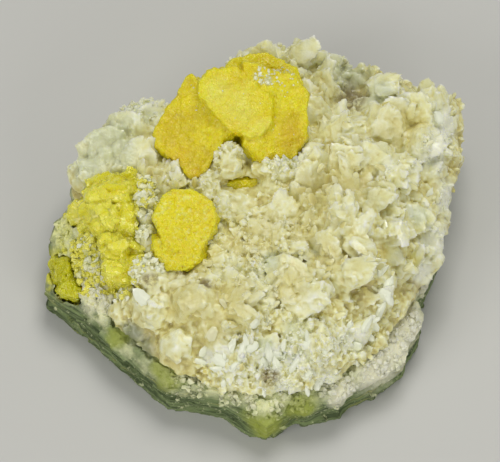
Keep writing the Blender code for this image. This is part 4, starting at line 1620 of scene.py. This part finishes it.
@dataclass
class Rubble:
    """Broken grains of one finish, strewn in heaps over the skins below them."""

    name: str
    slot: str
    heaps: tuple[Heap, ...]
    seed: int

    def build(self, skins: tuple[Skin, ...], material: bpy.types.Material) -> None:
        """Drops each grain on the highest skin under it.

        Args:
            skins: The surfaces that carry the grains.
            material: The grains' finish.
        """
        rng = np.random.default_rng(self.seed)
        trees = [BVHTree.FromPolygons(skin.points.tolist(), skin.faces.tolist()) for skin in skins]
        made = Gathering()
        for heap in self.heaps:
            for _ in range(heap.count):
                out, way = heap.radius * math.sqrt(rng.random()), rng.uniform(0, math.tau)
                x, y = heap.x + out * math.cos(way), heap.y + out * math.sin(way)
                size = heap.size * rng.uniform(0.5, 1.3)
                spin = turn_to(np.array([*rng.normal(0, 1, 2), 1.0]), rng.uniform(0, math.tau))
                points, faces = grain_shape(rng)
                level = ground(trees, x, y)
                if level is None:
                    continue
                rise = heap.lift * (1.0 - (out / heap.radius) ** 2) * rng.random()
                points = (points * size) @ spin.T + np.array([x, y, level + rise + size * 0.12])
                made.add(points, faces, np.full(len(points), rng.uniform(0.35, 0.9)))
        show(made.piece(self.name, material, 25.0), self.slot)


PALE_HEAPS = (
    Heap(-26.3, 0.5, 3.0, 70, 1.7, 3.0), Heap(-25.5, 6.0, 2.5, 30, 1.5, 1.5),
    Heap(-27.0, -6.0, 2.5, 40, 1.5, 2.0), Heap(-38.0, -6.0, 4.0, 60, 1.5, 0.5),
    Heap(-30.0, -15.0, 4.0, 60, 1.4, 0.5), Heap(-24.0, -14.0, 3.0, 40, 1.3, 0.5),
)
STONE_HEAPS = (
    Heap(-40.0, -8.0, 8.0, 70, 1.8), Heap(-44.0, 2.0, 5.0, 24, 1.4), Heap(-34.0, -17.0, 5.0, 40, 1.6),
    Heap(-15.0, -38.0, 5.0, 80, 1.4), Heap(-4.0, -44.0, 5.0, 80, 1.4),
    Heap(8.0, -44.0, 5.0, 80, 1.4), Heap(19.0, -40.0, 5.0, 80, 1.4), Heap(29.0, -34.0, 5.0, 80, 1.4),
    Heap(36.0, -25.0, 5.0, 80, 1.4), Heap(42.0, -14.0, 4.0, 60, 1.3),
)
SULFUR_HEAPS = (
    Heap(-43.0, -13.0, 5.0, 60, 1.4), Heap(-36.0, -13.0, 4.0, 60, 1.3), Heap(-42.0, 4.0, 4.0, 60, 1.3),
    Heap(-39.5, -7.0, 5.0, 60, 1.7), Heap(-30.0, -9.0, 4.0, 40, 1.3), Heap(-30.0, -13.0, 3.0, 25, 1.1),
    Heap(-26.4, 0.5, 2.8, 44, 1.9, 2.4), Heap(-26.2, 5.5, 2.4, 22, 1.7, 1.6),
    Heap(-38.5, -5.0, 4.0, 40, 1.5, 0.6), Heap(-30.5, -16.0, 4.5, 60, 1.4, 0.5),
)
DOT_HEAPS = (
    Heap(-17.0, 25.0, 4.0, 9, 0.4), Heap(-4.0, 22.0, 6.0, 6, 0.35), Heap(6.5, 29.0, 4.5, 70, 0.55),
    Heap(1.6, 28.4, 2.0, 26, 0.8), Heap(8.0, 18.0, 5.0, 6, 0.35),
)


def ground(trees: list[BVHTree], x: float, y: float) -> float | None:
    """Height of the highest surface at a place, or None where there is none.

    Args:
        trees: The surfaces.
        x: Place along X.
        y: Place along Y.

    Returns:
        The height in millimetres, or None.
    """
    hits = [tree.ray_cast(Vector((x, y, DROP)), Vector((0, 0, -1)))[0] for tree in trees]
    levels = [hit.z for hit in hits if hit is not None]
    return max(levels) if levels else None


@dataclass
class Studio:
    """The pale floor, in millimetres, and the soft lights and camera, in metres and degrees."""

    distance: float = 0.9
    elevation: float = 60.0
    lens: float = 270.0
    target: tuple[float, float, float] = (-0.00136, 0.0004, 0.015)
    floor_reach: float = 3000.0

    def build(self) -> None:
        """Sets up the floor, lights, world and camera."""
        self.floor()
        self.light("key light", (0.10, 0.30, 0.68), 0.36, 2.4, (1.0, 0.99, 0.94))
        self.light("left light", (-0.52, -0.5, 0.42), 0.45, 2.25, (1.0, 0.99, 0.96))
        self.light("right light", (0.42, -0.6, 0.36), 0.45, 1.5, (1.0, 0.99, 0.96))
        world = bpy.data.worlds.new("studio")
        world.use_nodes = True
        background = world.node_tree.nodes["Background"]
        background.inputs["Color"].default_value = (1.0, 1.0, 0.97, 1.0)
        background.inputs["Strength"].default_value = 0.22
        bpy.context.scene.world = world
        self.camera()

    def floor(self) -> None:
        """A plain pale floor."""
        edge = self.floor_reach
        points = np.array([(-edge, -edge, 0), (edge, -edge, 0), (edge, edge, 0), (-edge, edge, 0)])
        graph = Graph("pale floor")
        colour = graph.mix(graph.noise(120.0, 2.0), (0.60, 0.60, 0.58), (0.64, 0.64, 0.62))
        graph.feed(graph.shader.inputs["Base Color"], colour)
        graph.set(Roughness=0.6)
        floor = add_piece("floor", points, np.array([(0, 1, 2, 3)]), graph.material)

    def light(
        self, name: str, place: tuple[float, float, float], size: float, power: float, colour: Colour
    ) -> None:
        """Adds one soft square light that faces the specimen.

        Args:
            name: Name of the light.
            place: Where it stands, in metres.
            size: Its width, in metres.
            power: Its strength, in watts.
            colour: Its colour.
        """
        data = bpy.data.lights.new(name, "AREA")
        data.size = size
        data.energy = power
        data.color = colour
        made = bpy.data.objects.new(name, data)
        made.location = place
        made.rotation_euler = (Vector(place) - Vector(self.target)).to_track_quat("Z", "Y").to_euler()
        bpy.context.scene.collection.objects.link(made)

    def camera(self) -> None:
        """The camera at the photograph's angle."""
        data = bpy.data.cameras.new("camera")
        data.lens = self.lens
        data.sensor_width = 36.0
        data.clip_end = 20.0
        made = bpy.data.objects.new("camera", data)
        rise = math.radians(self.elevation)
        back = Vector((0, -math.cos(rise), math.sin(rise)))
        made.location = Vector(self.target) + back * self.distance
        made.rotation_euler = back.to_track_quat("Z", "Y").to_euler()
        bpy.context.scene.collection.objects.link(made)
        bpy.context.scene.camera = made


def main() -> None:
    """Builds the specimen and its studio."""
    logging.basicConfig(level=logging.INFO, format="%(name)s: %(message)s")
    stone = Limestone().build()
    crust = Crust().build()
    sulfur = tuple(piece.build() for piece in SULFUR)
    pale = CalciteFinish("pale grains", Lustre.GLASSY, whiteness=0.25, clear=0.0, reach=0.5)
    Rubble("pale_grains", "calcite", PALE_HEAPS, 31).build((stone, crust), pale.material())
    stained = LimestoneFinish(
        "stained grains", cream=(0.96, 0.96, 0.66), grey=(0.82, 0.86, 0.5), rim=(0.97, 0.96, 0.8)
    )
    Rubble("stone_crumbs", "limestone", STONE_HEAPS, 33).build((stone,), stained.material())
    Rubble("sulfur_crumbs", "sulfur", SULFUR_HEAPS, 35).build((stone, crust), CRUMBLED.material())
    Rubble("grains_on_sulfur", "calcite", DOT_HEAPS, 37).build(sulfur, pale.material())
    Studio().build()
    bpy.context.scene.view_settings.view_transform = "Standard"


if __name__ == "__main__":
    main()
